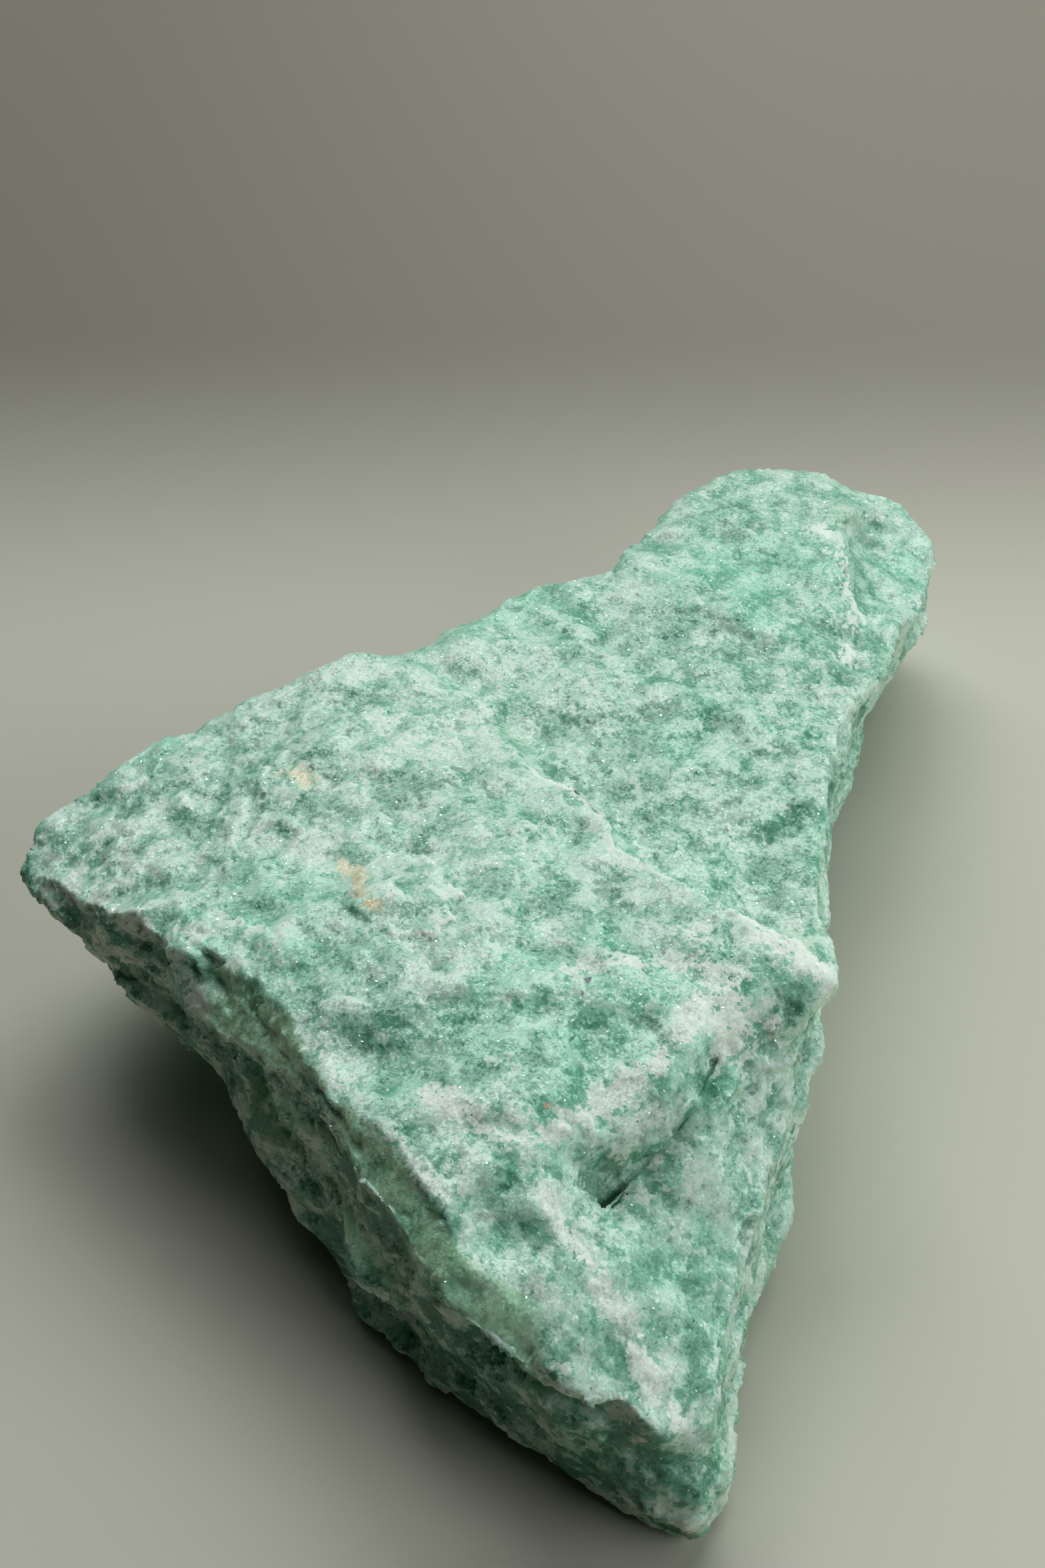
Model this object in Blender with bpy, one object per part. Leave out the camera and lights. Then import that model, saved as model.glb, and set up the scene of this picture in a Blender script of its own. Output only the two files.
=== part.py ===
"""A raw block of green aventurine: one stone, broken on every side, lying on its seat.

Row frame: +Z up, +Y along the stone's longest way towards its tail, origin under the middle of the
stone's box, on the surface that it rests on. Metres throughout.

The stone is green quartzite. It splits along layers that lie almost flat, so its top is made of
sheets at different heights, and its steep sides show the layers as ledges. The model starts as a
cage of places on the real stone. The cage is rounded, and its surface is then broken up the way
the rock breaks.
"""

import bmesh
import bpy
import numpy as np
from mathutils import Vector, geometry, noise

# Driving sizes of the finished stone. LENGTH is its longest way, and the cage's heights and places
# below are measured from the seat, in the same metres.
LENGTH = 0.300
SEAT_Z = 0.0
SEAT_WEAR = 0.0009        # how much of the underside's lowest humps is worn flat
SEAT_LEVEL = 0.0003       # what stays lower than this counts as seat

# How finely the stone is modelled.
GRAIN = 0.0017            # spacing of the even skin that the cage is turned into
ROUNDING_PASSES = 2       # how far the cage's edges are worn round
BLUNTING = 0.35           # how far the points of the broken surface are blunted
SHARPEST = 2.1            # sharpest turn left between two facets, in radians
TRIANGLES = 9400          # triangles kept in the finished solid

# The rock's layers, lying almost flat. On the steep sides each layer ends at its own depth.
LAYER_UP = Vector((0.05, -0.04, 1.0)).normalized()
LAYER_THICKNESS = 0.0060
LAYER_BEND = 0.0050       # how far the layers wave up and down
LAYER_BEND_RUN = 0.062    # from one wave to the next
LEDGE_DEPTH = 0.0046      # how far one layer stands out past the next
LEDGE_RUN = 0.031         # length of one ledge along the side
LEDGE_EDGE = 0.80         # share of a layer's thickness that is upright, before it steps back

# On the top, thin sheets of the rock lie on one another, each torn off along its own line.
SHEETS = 3
SHEET_THICKNESS = 0.0008
SHEET_RUN = (0.042, 0.032)
SHEET_TEAR = (-0.02, 0.04)

# Broad lumps, and the shell-shaped chips that hammering leaves.
LUMP_SIZE = 0.034
LUMP_HEIGHT = 0.0016
CHIP_SPACING = 0.013
CHIP_DEPTH = 0.0020
CHIP_ON_TOP = 0.35        # how deep chips are on the top, as a share of those on the sides

# Colour and finish of the rock: pale mint quartz, dull where it is bruised.
ROCK_COLOUR = (0.36, 0.56, 0.45, 1.0)
ROCK_ROUGHNESS = 0.55

# Stations round the stone, seen from above, starting at the left tip and going round by the front
# corner. Each row: rim of the top (x, y, z), foot of the side (x, y, z), edge of the seat (x, y).
FRONT_LEFT = [            # the ridge from the left tip to the front corner
    ((-0.114, -0.009, 0.047), (-0.112, -0.010, 0.035), (-0.052, -0.005)),
    ((-0.101, -0.023, 0.051), (-0.104, -0.016, 0.031), (-0.051, -0.015)),
    ((-0.086, -0.036, 0.054), (-0.090, -0.029, 0.027), (-0.049, -0.026)),
    ((-0.072, -0.045, 0.056), (-0.080, -0.040, 0.023), (-0.047, -0.037)),
    ((-0.058, -0.060, 0.058), (-0.067, -0.051, 0.017), (-0.044, -0.048)),
    ((-0.047, -0.077, 0.058), (-0.058, -0.066, 0.010), (-0.040, -0.060)),
    ((-0.034, -0.096, 0.057), (-0.045, -0.083, 0.006), (-0.034, -0.076)),
    ((-0.020, -0.113, 0.056), (-0.031, -0.101, 0.004), (-0.023, -0.094)),
    ((-0.012, -0.128, 0.052), (-0.020, -0.115, 0.004), (-0.012, -0.107)),
    ((-0.001, -0.136, 0.044), (-0.005, -0.127, 0.004), (0.001, -0.118)),
    ((0.012, -0.142, 0.037), (0.010, -0.136, 0.004), (0.012, -0.129)),
    ((0.022, -0.148, 0.030), (0.021, -0.147, 0.004), (0.021, -0.138)),
    ((0.030, -0.151, 0.021), (0.031, -0.151, 0.006), (0.027, -0.142)),
]
FRONT_RIGHT = [           # the right side from the front corner to the high corner
    ((0.035, -0.143, 0.025), (0.038, -0.144, 0.008), (0.032, -0.136)),
    ((0.036, -0.127, 0.031), (0.041, -0.122, 0.010), (0.035, -0.119)),
    ((0.038, -0.109, 0.036), (0.044, -0.101, 0.011), (0.039, -0.099)),
    ((0.043, -0.088, 0.040), (0.052, -0.081, 0.012), (0.047, -0.079)),
    ((0.050, -0.069, 0.047), (0.055, -0.064, 0.012), (0.049, -0.062)),
    ((0.060, -0.054, 0.057), (0.055, -0.048, 0.012), (0.049, -0.046)),
]
TAIL_RIGHT = [            # the right side from the high corner to the tail
    ((0.064, -0.026, 0.050), (0.061, -0.025, 0.010), (0.054, -0.024)),
    ((0.066, -0.009, 0.053), (0.062, -0.007, 0.010), (0.055, -0.006)),
    ((0.069, 0.016, 0.054), (0.068, 0.020, 0.010), (0.061, 0.022)),
    ((0.078, 0.043, 0.051), (0.077, 0.052, 0.011), (0.069, 0.054)),
    ((0.093, 0.078, 0.046), (0.090, 0.088, 0.012), (0.083, 0.090)),
    ((0.108, 0.117, 0.038), (0.102, 0.121, 0.012), (0.094, 0.117)),
]
TAIL_END = [
    ((0.112, 0.132, 0.040), (0.106, 0.135, 0.012), (0.095, 0.129)),
    ((0.101, 0.141, 0.046), (0.098, 0.145, 0.012), (0.090, 0.137)),
    ((0.083, 0.150, 0.050), (0.082, 0.151, 0.012), (0.078, 0.142)),
    ((0.061, 0.149, 0.052), (0.060, 0.150, 0.012), (0.062, 0.140)),
]
BACK = [                  # from the tail to the left tip
    ((0.041, 0.131, 0.054), (0.040, 0.132, 0.012), (0.047, 0.124)),
    ((0.031, 0.108, 0.055), (0.027, 0.111, 0.011), (0.036, 0.104)),
    ((0.018, 0.091, 0.056), (0.013, 0.096, 0.010), (0.022, 0.088)),
    ((0.002, 0.086, 0.057), (-0.002, 0.092, 0.010), (0.004, 0.081)),
    ((-0.009, 0.075, 0.058), (-0.013, 0.081, 0.010), (-0.006, 0.070)),
    ((-0.022, 0.061, 0.058), (-0.027, 0.067, 0.011), (-0.018, 0.057)),
    ((-0.032, 0.056, 0.056), (-0.037, 0.060, 0.012), (-0.028, 0.050)),
    ((-0.043, 0.051, 0.060), (-0.047, 0.054, 0.014), (-0.036, 0.043)),
    ((-0.055, 0.043, 0.060), (-0.057, 0.046, 0.017), (-0.044, 0.034)),
    ((-0.079, 0.026, 0.056), (-0.080, 0.028, 0.025), (-0.051, 0.017)),
    ((-0.098, 0.015, 0.053), (-0.098, 0.017, 0.030), (-0.053, 0.009)),
    ((-0.110, 0.002, 0.051), (-0.110, 0.003, 0.034), (-0.053, 0.002)),
]
STATIONS = FRONT_LEFT + FRONT_RIGHT + TAIL_RIGHT + TAIL_END + BACK

# The sides between rim and foot. Under the front left ridge the rock has split off in a slanting
# facet, and below that the side falls back again. Elsewhere there is only a worn shoulder.
FACET_FIRST, FACET_LAST = 3, 7
FACET_DROP = 0.0090       # height of the slanting facet
FACET_OUT = 0.0035        # how far its lower edge stands out past the ridge
SHOULDER_DROP = 0.0050
SHOULDER_OUT = 0.0012
SHOULDER_SHARE = 0.35     # most of the side's height that a facet or shoulder may take
BELLY_SHARE = 0.6         # how far down the side the belly is
BELLY_BULGE = 0.0025      # how far the belly swells out
BELLY_RUN = 0.033

# Creases of the top: each is a line of places, high or low, that the top's facets meet on.
STEP_EDGE = [             # where the near sheet ends, above the far one
    (-0.030, 0.046, 0.059), (-0.018, 0.037, 0.059), (-0.006, 0.021, 0.060),
    (0.002, 0.005, 0.061), (0.009, -0.002, 0.062), (0.016, -0.012, 0.062),
    (0.022, -0.023, 0.062), (0.030, -0.029, 0.062), (0.040, -0.037, 0.062),
    (0.050, -0.043, 0.061), (0.057, -0.046, 0.059),
]
STEP_FOOT = [
    (-0.026, 0.051, 0.055), (-0.013, 0.042, 0.055), (-0.001, 0.025, 0.055),
    (0.006, 0.009, 0.054), (0.013, 0.002, 0.053), (0.020, -0.008, 0.052),
    (0.026, -0.019, 0.051), (0.033, -0.024, 0.050), (0.043, -0.032, 0.049),
    (0.055, -0.037, 0.048),
]
SCOOP_EDGE = [            # where the near sheet ends, above the scoop on the right
    (0.053, -0.053, 0.059), (0.046, -0.056, 0.060), (0.040, -0.061, 0.060),
    (0.036, -0.068, 0.060), (0.033, -0.075, 0.059), (0.027, -0.083, 0.058),
    (0.021, -0.089, 0.056), (0.015, -0.094, 0.054), (0.008, -0.100, 0.051),
]
SCOOP_GROOVE = [          # sharp groove along the foot of the scoop's wall, down to a pit
    (0.0365, -0.0765, 0.052), (0.0315, -0.0850, 0.046), (0.0270, -0.0905, 0.043),
    (0.0225, -0.0955, 0.040), (0.0160, -0.1020, 0.037),
]
SCOOP_LIP = [             # thin lip on the groove's other side, where the scoop's floor starts
    (0.0395, -0.0790, 0.053), (0.0340, -0.0875, 0.049), (0.0295, -0.0930, 0.046),
    (0.0250, -0.0980, 0.044), (0.0195, -0.1030, 0.041),
]
SCOOP_FOLD = [            # where the scoop's floor meets the shoulder under the high corner
    (0.046, -0.074, 0.045), (0.042, -0.078, 0.048),
]
LOBE_EDGE = [             # small step up from the scoop's floor to the front lobe
    (0.014, -0.108, 0.043), (0.022, -0.108, 0.042), (0.032, -0.109, 0.039),
]
FRONT_RIDGE = [           # crest of the lobe that runs down to the front corner
    (0.010, -0.115, 0.047), (0.015, -0.124, 0.043), (0.019, -0.136, 0.037),
]
TAIL_EDGE = [             # where the tail's upper sheet ends, above a shelf on its right
    (0.084, 0.125, 0.052), (0.083, 0.099, 0.053), (0.083, 0.082, 0.052), (0.085, 0.068, 0.048),
]
TAIL_SHELF = [
    (0.089, 0.123, 0.044), (0.088, 0.099, 0.043), (0.088, 0.084, 0.043), (0.088, 0.075, 0.043),
]
CREASES = [
    STEP_EDGE, STEP_FOOT, SCOOP_EDGE, SCOOP_GROOVE, SCOOP_LIP, SCOOP_FOLD, LOBE_EDGE,
    FRONT_RIDGE, TAIL_EDGE, TAIL_SHELF,
]

# Lines along which the rock broke clean: sheets and chips are fainter beside them.
CLEAN_LINES = [SCOOP_EDGE, SCOOP_GROOVE, SCOOP_LIP, STEP_EDGE]
CLEAN_SHARE = 0.25
CLEAN_REACH = (0.004, 0.013)

# Places on the broad parts of the top, between the creases.
NEAR_SHEET = [
    (-0.073, -0.012, 0.058), (-0.050, -0.035, 0.060), (-0.045, 0.015, 0.061),
    (-0.013, -0.067, 0.063), (-0.010, -0.020, 0.062), (0.012, -0.062, 0.062),
    (-0.002, -0.096, 0.058), (0.032, -0.052, 0.062),
]
FAR_SHEET = [
    (0.045, 0.010, 0.054), (0.030, 0.050, 0.057), (0.008, 0.055, 0.057),
    (0.055, 0.080, 0.056), (0.060, 0.115, 0.054), (0.050, -0.016, 0.050),
]
HIGH_SHOULDER = [(0.050, -0.060, 0.057), (0.043, -0.068, 0.057)]
SCOOP_FLOOR = [(0.037, -0.094, 0.043), (0.030, -0.102, 0.041)]
LOBE = [(0.026, -0.120, 0.038), (0.003, -0.123, 0.050)]
TOP_PLACES = NEAR_SHEET + FAR_SHEET + HIGH_SHOULDER + SCOOP_FLOOR + LOBE

# Hollows and raised flakes that stand out from a step away: middle, reach, depth, and how many
# times longer the mark is along the layers than across them. A raised flake's depth is negative.
MARKS = [
    ((-0.079, -0.040, 0.048), 0.011, 0.0030, 1.0),     # notch in the ridge, near the left tip
    ((-0.068, -0.056, 0.038), 0.007, 0.0030, 1.3),     # deep hole in the left side
    ((-0.055, -0.068, 0.042), 0.006, 0.0026, 2.2),     # slits under the slanting facet
    ((-0.036, -0.089, 0.043), 0.006, 0.0022, 2.6),
    ((-0.008, -0.130, 0.034), 0.009, 0.0034, 1.2),     # wedge broken out below the front ridge
    ((-0.052, -0.074, 0.030), 0.006, -0.0024, 2.6),    # flakes left standing on the left side
    ((-0.030, -0.104, 0.026), 0.008, -0.0020, 1.6),
    ((0.014, -0.103, 0.039), 0.006, 0.0022, 1.0),      # pit where the scoop ends
    ((-0.028, -0.035, 0.061), 0.009, -0.0014, 1.4),    # flake on the near sheet
    ((-0.009, 0.036, 0.056), 0.009, -0.0018, 1.0),     # pale lump at the foot of the step
    ((0.064, -0.042, 0.042), 0.009, -0.0016, 1.0),     # swelling under the high corner
    ((-0.020, 0.070, 0.050), 0.008, 0.0010, 1.0),      # bites out of the back rim
    ((0.020, 0.098, 0.050), 0.008, 0.0022, 1.0),
]
MARK_FLOOR = 0.35         # share of a mark's reach over which it keeps its full depth


def smooth_ramp(value, low, high):
    """From 0 at low to 1 at high, level at both ends."""
    share = min(1.0, max(0.0, (value - low) / (high - low)))
    return share * share * (3.0 - 2.0 * share)


def outward(ring, index):
    """The outward direction, seen from above, at one place of a ring that runs anticlockwise."""
    before = ring[index - 1]
    after = ring[(index + 1) % len(ring)]
    along = (after - before).normalized()
    return Vector((along.y, -along.x, 0.0))


def side_rings():
    """The loops that carry the sides, from the top down: rim, shoulder, belly, foot and seat."""
    rim = [Vector(high) for high, _, _ in STATIONS]
    foot = [Vector(low) for _, low, _ in STATIONS]
    seat = [Vector((x, y, SEAT_Z)) for _, _, (x, y) in STATIONS]
    shoulder = []
    belly = []
    for i, (high, low) in enumerate(zip(rim, foot)):
        out = outward(rim, i)
        faceted = FACET_FIRST <= i <= FACET_LAST
        wanted = (FACET_DROP if faceted else SHOULDER_DROP) / (high.z - low.z)
        edge = high.lerp(low, min(wanted, SHOULDER_SHARE))
        shoulder.append(edge + out * (FACET_OUT if faceted else SHOULDER_OUT))
        swell = BELLY_BULGE * (0.4 + noise.noise(high / BELLY_RUN))
        belly.append(high.lerp(low, BELLY_SHARE) + out * swell)
    return rim, shoulder, belly, foot, seat


def add_top(cage, rim):
    """Facets the top between the rim, the creases and the places on its sheets."""
    places = [corner.co.copy() for corner in rim]
    edges = []
    for crease in CREASES:
        first = len(places)
        places += [Vector(place) for place in crease]
        edges += [(i, i + 1) for i in range(first, len(places) - 1)]
    places += [Vector(place) for place in TOP_PLACES]
    outline = list(range(len(rim)))
    seen_from_above = [place.to_2d() for place in places]
    _, _, facets, sources, _, _ = geometry.delaunay_2d_cdt(seen_from_above, edges, [outline], 1, 1e-6)
    corners = []
    for source in sources:
        on_rim = source[0] < len(rim)
        corners.append(rim[source[0]] if on_rim else cage.verts.new(places[source[0]]))
    for facet in facets:
        cage.faces.new([corners[i] for i in facet])


def stone_cage():
    """The stone as a closed cage of large facets."""
    cage = bmesh.new()
    rings = [[cage.verts.new(place) for place in ring] for ring in side_rings()]
    for upper, lower in zip(rings, rings[1:]):
        for i in range(len(upper)):
            j = (i + 1) % len(upper)
            cage.faces.new((upper[i], lower[i], lower[j], upper[j]))
    cage.faces.new(list(reversed(rings[-1])))
    add_top(cage, rings[0])
    bmesh.ops.recalc_face_normals(cage, faces=cage.faces)
    data = bpy.data.meshes.new("cage")
    cage.to_mesh(data)
    cage.free()
    return data


def with_modifier(data, kind, **settings):
    """The mesh that one modifier makes of this one."""
    holder = bpy.data.objects.new("holder", data)
    bpy.context.scene.collection.objects.link(holder)
    modifier = holder.modifiers.new(kind.lower(), kind)
    for name, value in settings.items():
        setattr(modifier, name, value)
    seen = holder.evaluated_get(bpy.context.evaluated_depsgraph_get())
    made = bpy.data.meshes.new_from_object(seen)
    bpy.data.objects.remove(holder)
    return made


def ledge(place):
    """How far a steep side stands out here: each layer ends at its own depth."""
    bend = LAYER_BEND * noise.noise(place / LAYER_BEND_RUN)
    height = (place.dot(LAYER_UP) + bend) / LAYER_THICKNESS
    layer = int(np.floor(height))
    along = place.to_2d() / LEDGE_RUN
    here, above = (noise.noise(Vector((along.x, along.y, 7.3 * n))) for n in (layer, layer + 1))
    return LEDGE_DEPTH * (here + (above - here) * smooth_ramp(height - layer, LEDGE_EDGE, 1.0))


def sheet_height(place):
    """How high a flat-lying part stands here, from the torn sheets that still cover it."""
    height = 0.0
    for sheet in range(SHEETS):
        torn = Vector((place.x / SHEET_RUN[0], place.y / SHEET_RUN[1], 5.7 * sheet))
        height += smooth_ramp(noise.fractal(torn, 0.9, 2.3, 3), *SHEET_TEAR) - 0.5
    return SHEET_THICKNESS * height


def chip_height(place, flatness):
    """The surface between shell-shaped chips: lowest in the middle of each."""
    distance = noise.voronoi(place / CHIP_SPACING + Vector((4.0, 9.0, 2.0)))[0][0]
    depth = CHIP_DEPTH * (1.0 + (CHIP_ON_TOP - 1.0) * flatness)
    return depth * (distance - 0.5)


def mark_depth(place):
    """How far the hollows and flakes of MARKS cut in here."""
    total = 0.0
    for middle, reach, depth, stretch in MARKS:
        away = place - Vector(middle)
        up = away.dot(LAYER_UP)
        along = (away - LAYER_UP * up).length / stretch
        distance = Vector((along, up)).length / reach
        total += depth * (1.0 - smooth_ramp(distance, MARK_FLOOR, 1.0))
    return total


def distance_to(line, place):
    """How far a place is from a line of places."""
    nearest = LENGTH
    for start, end in zip(line, line[1:]):
        along = Vector(end) - Vector(start)
        away = place - Vector(start)
        share = min(1.0, max(0.0, away.dot(along) / along.length_squared))
        nearest = min(nearest, (away - along * share).length)
    return nearest


def roughness(place):
    """Under 1 beside the lines where the rock broke clean, and 1 away from them."""
    nearest = min(distance_to(line, place) for line in CLEAN_LINES)
    return CLEAN_SHARE + (1.0 - CLEAN_SHARE) * smooth_ramp(nearest, *CLEAN_REACH)


def breakage(place, out):
    """How the broken rock's surface differs from the rounded cage at one place."""
    flatness = smooth_ramp(abs(out.dot(LAYER_UP)), 0.55, 0.90)
    rough = roughness(place)
    lump = LUMP_HEIGHT * noise.fractal(place / LUMP_SIZE, 0.9, 2.2, 2)
    move = out * (lump + rough * chip_height(place, flatness) - mark_depth(place))
    upward = np.sign(out.z) * rough * flatness
    move = move + LAYER_UP * upward * sheet_height(place)
    sideways = Vector((out.x, out.y, 0.0))
    if flatness < 1.0 and sideways.length > 0.0:
        move = move + sideways.normalized() * (1.0 - flatness) * ledge(place)
    return move


def break_surface(skin):
    """Moves every point of the rounded skin to the broken rock's surface."""
    skin.normal_update()
    moves = [breakage(point.co, point.normal) for point in skin.verts]
    for point, move in zip(skin.verts, moves):
        point.co += move


def soften(skin, factor):
    """Draws every point towards the middle of its neighbours."""
    bmesh.ops.smooth_vert(
        skin, verts=skin.verts, factor=factor, use_axis_x=True, use_axis_y=True, use_axis_z=True
    )


def blunt_spikes(skin):
    """Draws in the few points that stick out like needles."""
    for _ in range(8):
        sharp = [edge for edge in skin.edges if edge.calc_face_angle() > SHARPEST]
        sides = {face for edge in sharp for face in edge.link_faces}
        points = {point for face in sides for point in face.verts}
        middles = {}
        for point in points:
            neighbours = [edge.other_vert(point).co for edge in point.link_edges]
            middles[point] = sum(neighbours, Vector()) / len(neighbours)
        for point, middle in middles.items():
            point.co = point.co.lerp(middle, 0.5)
        skin.normal_update()


def wear_seat(skin, wear):
    """Wears the lowest humps of the underside flat, so that the stone lies still on them."""
    for point in skin.verts:
        height = point.co.z - wear * (1.0 - smooth_ramp(point.co.z, 0.002, 0.025))
        point.co.z = SEAT_Z if height < SEAT_Z + SEAT_LEVEL else height


def centred(skin):
    """Puts the row frame's origin under the middle of the stone's box."""
    places = np.array([point.co for point in skin.verts])
    low, high = places.min(axis=0), places.max(axis=0)
    middle = Vector((low + high) / 2.0)
    for point in skin.verts:
        point.co.x -= middle.x
        point.co.y -= middle.y
    print("stone's box:", (high - low).round(4), "cage's origin moved by:", -middle.x, -middle.y)


def rock_material():
    material = bpy.data.materials.new("green_aventurine")
    material.use_nodes = True
    shader = material.node_tree.nodes["Principled BSDF"]
    shader.inputs["Base Color"].default_value = ROCK_COLOUR
    shader.inputs["Roughness"].default_value = ROCK_ROUGHNESS
    shader.inputs["Metallic"].default_value = 0.0
    return material


def build_stone():
    data = with_modifier(stone_cage(), "REMESH", mode="VOXEL", voxel_size=GRAIN)
    skin = bmesh.new()
    skin.from_mesh(data)
    for _ in range(ROUNDING_PASSES):
        soften(skin, 0.5)
    break_surface(skin)
    soften(skin, BLUNTING)
    wear_seat(skin, SEAT_WEAR)
    skin.to_mesh(data)
    skin.free()

    share = TRIANGLES / sum(len(face.vertices) - 2 for face in data.polygons)
    data = with_modifier(data, "DECIMATE", ratio=share, use_collapse_triangulate=True)
    facets = bmesh.new()
    facets.from_mesh(data)
    blunt_spikes(facets)
    wear_seat(facets, 0.0)
    centred(facets)
    facets.to_mesh(data)
    facets.free()

    data.materials.append(rock_material())
    stone = bpy.data.objects.new("aventurine", data)
    bpy.context.scene.collection.objects.link(stone)


for old in list(bpy.data.objects):
    bpy.data.objects.remove(old)
build_stone()
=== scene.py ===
# %% [markdown]
# # A raw block of green aventurine
#
# Aventurine is quartzite, a rock of sugary quartz grains, coloured green by thin plates of mica.
# This block was split by hammer, so every side of it is a broken face. The lesson dresses the
# plain solid of the block: it breaks the surface up further, colours it, and lays mica plates in
# it. The solid's size and place never change.

import math

import bmesh
import bpy
import numpy as np
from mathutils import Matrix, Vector


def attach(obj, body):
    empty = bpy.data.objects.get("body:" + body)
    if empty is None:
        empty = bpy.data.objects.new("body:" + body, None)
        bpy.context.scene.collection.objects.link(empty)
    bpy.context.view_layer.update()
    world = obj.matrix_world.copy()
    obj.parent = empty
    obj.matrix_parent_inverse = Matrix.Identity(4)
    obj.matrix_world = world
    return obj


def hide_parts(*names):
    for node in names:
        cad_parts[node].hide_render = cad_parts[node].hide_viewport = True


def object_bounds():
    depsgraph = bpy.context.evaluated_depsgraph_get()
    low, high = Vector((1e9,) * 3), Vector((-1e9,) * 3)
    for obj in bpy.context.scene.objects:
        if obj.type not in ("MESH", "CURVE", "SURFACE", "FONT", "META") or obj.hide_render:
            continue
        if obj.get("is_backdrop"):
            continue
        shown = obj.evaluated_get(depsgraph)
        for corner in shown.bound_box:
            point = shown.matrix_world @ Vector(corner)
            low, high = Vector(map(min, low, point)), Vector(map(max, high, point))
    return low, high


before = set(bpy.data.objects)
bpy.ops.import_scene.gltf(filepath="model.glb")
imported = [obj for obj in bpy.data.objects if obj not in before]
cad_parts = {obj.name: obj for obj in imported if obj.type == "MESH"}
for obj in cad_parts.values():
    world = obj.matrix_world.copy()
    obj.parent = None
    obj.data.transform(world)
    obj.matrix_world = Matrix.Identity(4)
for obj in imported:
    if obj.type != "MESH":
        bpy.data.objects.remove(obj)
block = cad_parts["aventurine"]
CAD_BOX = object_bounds()
print("block, in metres:", [round(b - a, 4) for a, b in zip(*CAD_BOX)])

# %% [markdown]
# ## The camera
#
# The photograph looks down at the block from in front of its near corner, about half a metre
# away, with an ordinary 50 mm lens. We put the camera there before anything else, because the
# size of a grain or a speck is only right when it is right from this place.

# %% Camera
CAMERA_PLACE = Vector((-0.0005, -0.3708, 0.3740))
CAMERA_PITCH = math.radians(40.0)

lens = bpy.data.cameras.new("camera")
lens.lens = 50.0
lens.sensor_width = 36.0
lens.clip_start = 0.01
camera = bpy.data.objects.new("camera", lens)
camera.location = CAMERA_PLACE
camera.rotation_euler = (math.radians(90.0) - CAMERA_PITCH, 0.0, 0.0)
bpy.context.scene.collection.objects.link(camera)
bpy.context.scene.camera = camera
bpy.context.scene.view_settings.view_transform = "Standard"
block_middle = Vector((0.0, 0.0, CAD_BOX[1][2] / 2.0))
print("camera is", round((CAMERA_PLACE - block_middle).length, 3), "m from the block's middle")

# %% [markdown]
# ## Helpers for node trees
#
# Materials and Geometry Nodes are both trees of nodes, and both are wired in the same way. These
# helpers make one node in one line. An input takes either a plain value or another node's output.

# %% Node helpers
def feed(tree, socket, value):
    """Gives an input its value, or links it to another node's output."""
    if isinstance(value, bpy.types.NodeSocket):
        tree.links.new(value, socket)
    else:
        socket.default_value = value


def add(tree, kind, inputs=None, **settings):
    """Makes a node, sets it up, and feeds the inputs that are named or numbered."""
    node = tree.nodes.new(kind)
    for name, value in settings.items():
        setattr(node, name, value)
    for key, value in (inputs or {}).items():
        feed(tree, node.inputs[key], value)
    return node


def calc(tree, operation, first, second=0.0, third=0.0):
    """One step of arithmetic."""
    inputs = {0: first, 1: second, 2: third}
    return add(tree, "ShaderNodeMath", inputs, operation=operation).outputs[0]


def times(tree, first, second):
    """Two values multiplied."""
    return calc(tree, "MULTIPLY", first, second)


def vector_calc(tree, operation, first, second=(0.0, 0.0, 0.0), scale=1.0):
    """One step of arithmetic with vectors."""
    inputs = {0: first, "Scale": scale} if operation == "SCALE" else {0: first, 1: second}
    node = add(tree, "ShaderNodeVectorMath", inputs, operation=operation)
    return node.outputs["Value" if operation in ("DOT_PRODUCT", "LENGTH", "DISTANCE") else "Vector"]


def ramp(tree, value, low, high, to_low=0.0, to_high=1.0):
    """A soft threshold: to_low below low, to_high above high, smooth in between."""
    inputs = {0: value, 1: low, 2: high, 3: to_low, 4: to_high}
    return add(tree, "ShaderNodeMapRange", inputs, interpolation_type="SMOOTHSTEP").outputs[0]


SEED_WAY = (0.731, -0.413, 0.557)


def clouds(tree, place, run, detail=2.0, rough=0.5, seed=0.0):
    """Cloudy noise round 0.5. A cloud is about run metres long, and each seed gives others."""
    moved = vector_calc(tree, "ADD", place, tuple(way * seed for way in SEED_WAY))
    inputs = {"Vector": moved, "Scale": 1.0 / run, "Detail": detail, "Roughness": rough}
    return add(tree, "ShaderNodeTexNoise", inputs).outputs[0]


def blend(tree, share, first, second, how="MIX"):
    """Mixes two colours: the first at share 0, the second at share 1."""
    inputs = {0: share, 6: first, 7: second}
    node = add(tree, "ShaderNodeMix", inputs, data_type="RGBA", blend_type=how)
    return node.outputs[2]


# %% [markdown]
# ## The floor
#
# The block lies on a sheet of pale grey-green paper. The real paper turns up behind the block,
# and less light falls on it there. A real turned-up sheet would hide the block from behind, so
# ours stays flat, and painted shade in its colour darkens it along the place where the paper would
# rise. More painted shade makes it a little darker towards the left and towards the back.

# %% Floor
PAPER = (0.570, 0.578, 0.487, 1.0)
# Painted shade: these darker papers stand in for light falling off left, behind and up the paper.
PAPER_LEFT_SHADED = (0.510, 0.520, 0.440, 1.0)
PAPER_FAR_SHADED = (0.222, 0.221, 0.180, 1.0)
PAPER_FAR_LEFT_SHADED = (0.160, 0.159, 0.133, 1.0)
PAPER_SHADE_RISES = (0.110, 0.330)
PAPER_SHADE_LEFT_TO_RIGHT = (-0.25, 0.15)
PAPER_SHADE_BEHIND = (-0.14, 0.02, 1.0, 0.91)
FLOOR_HALF = 4.0

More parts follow.
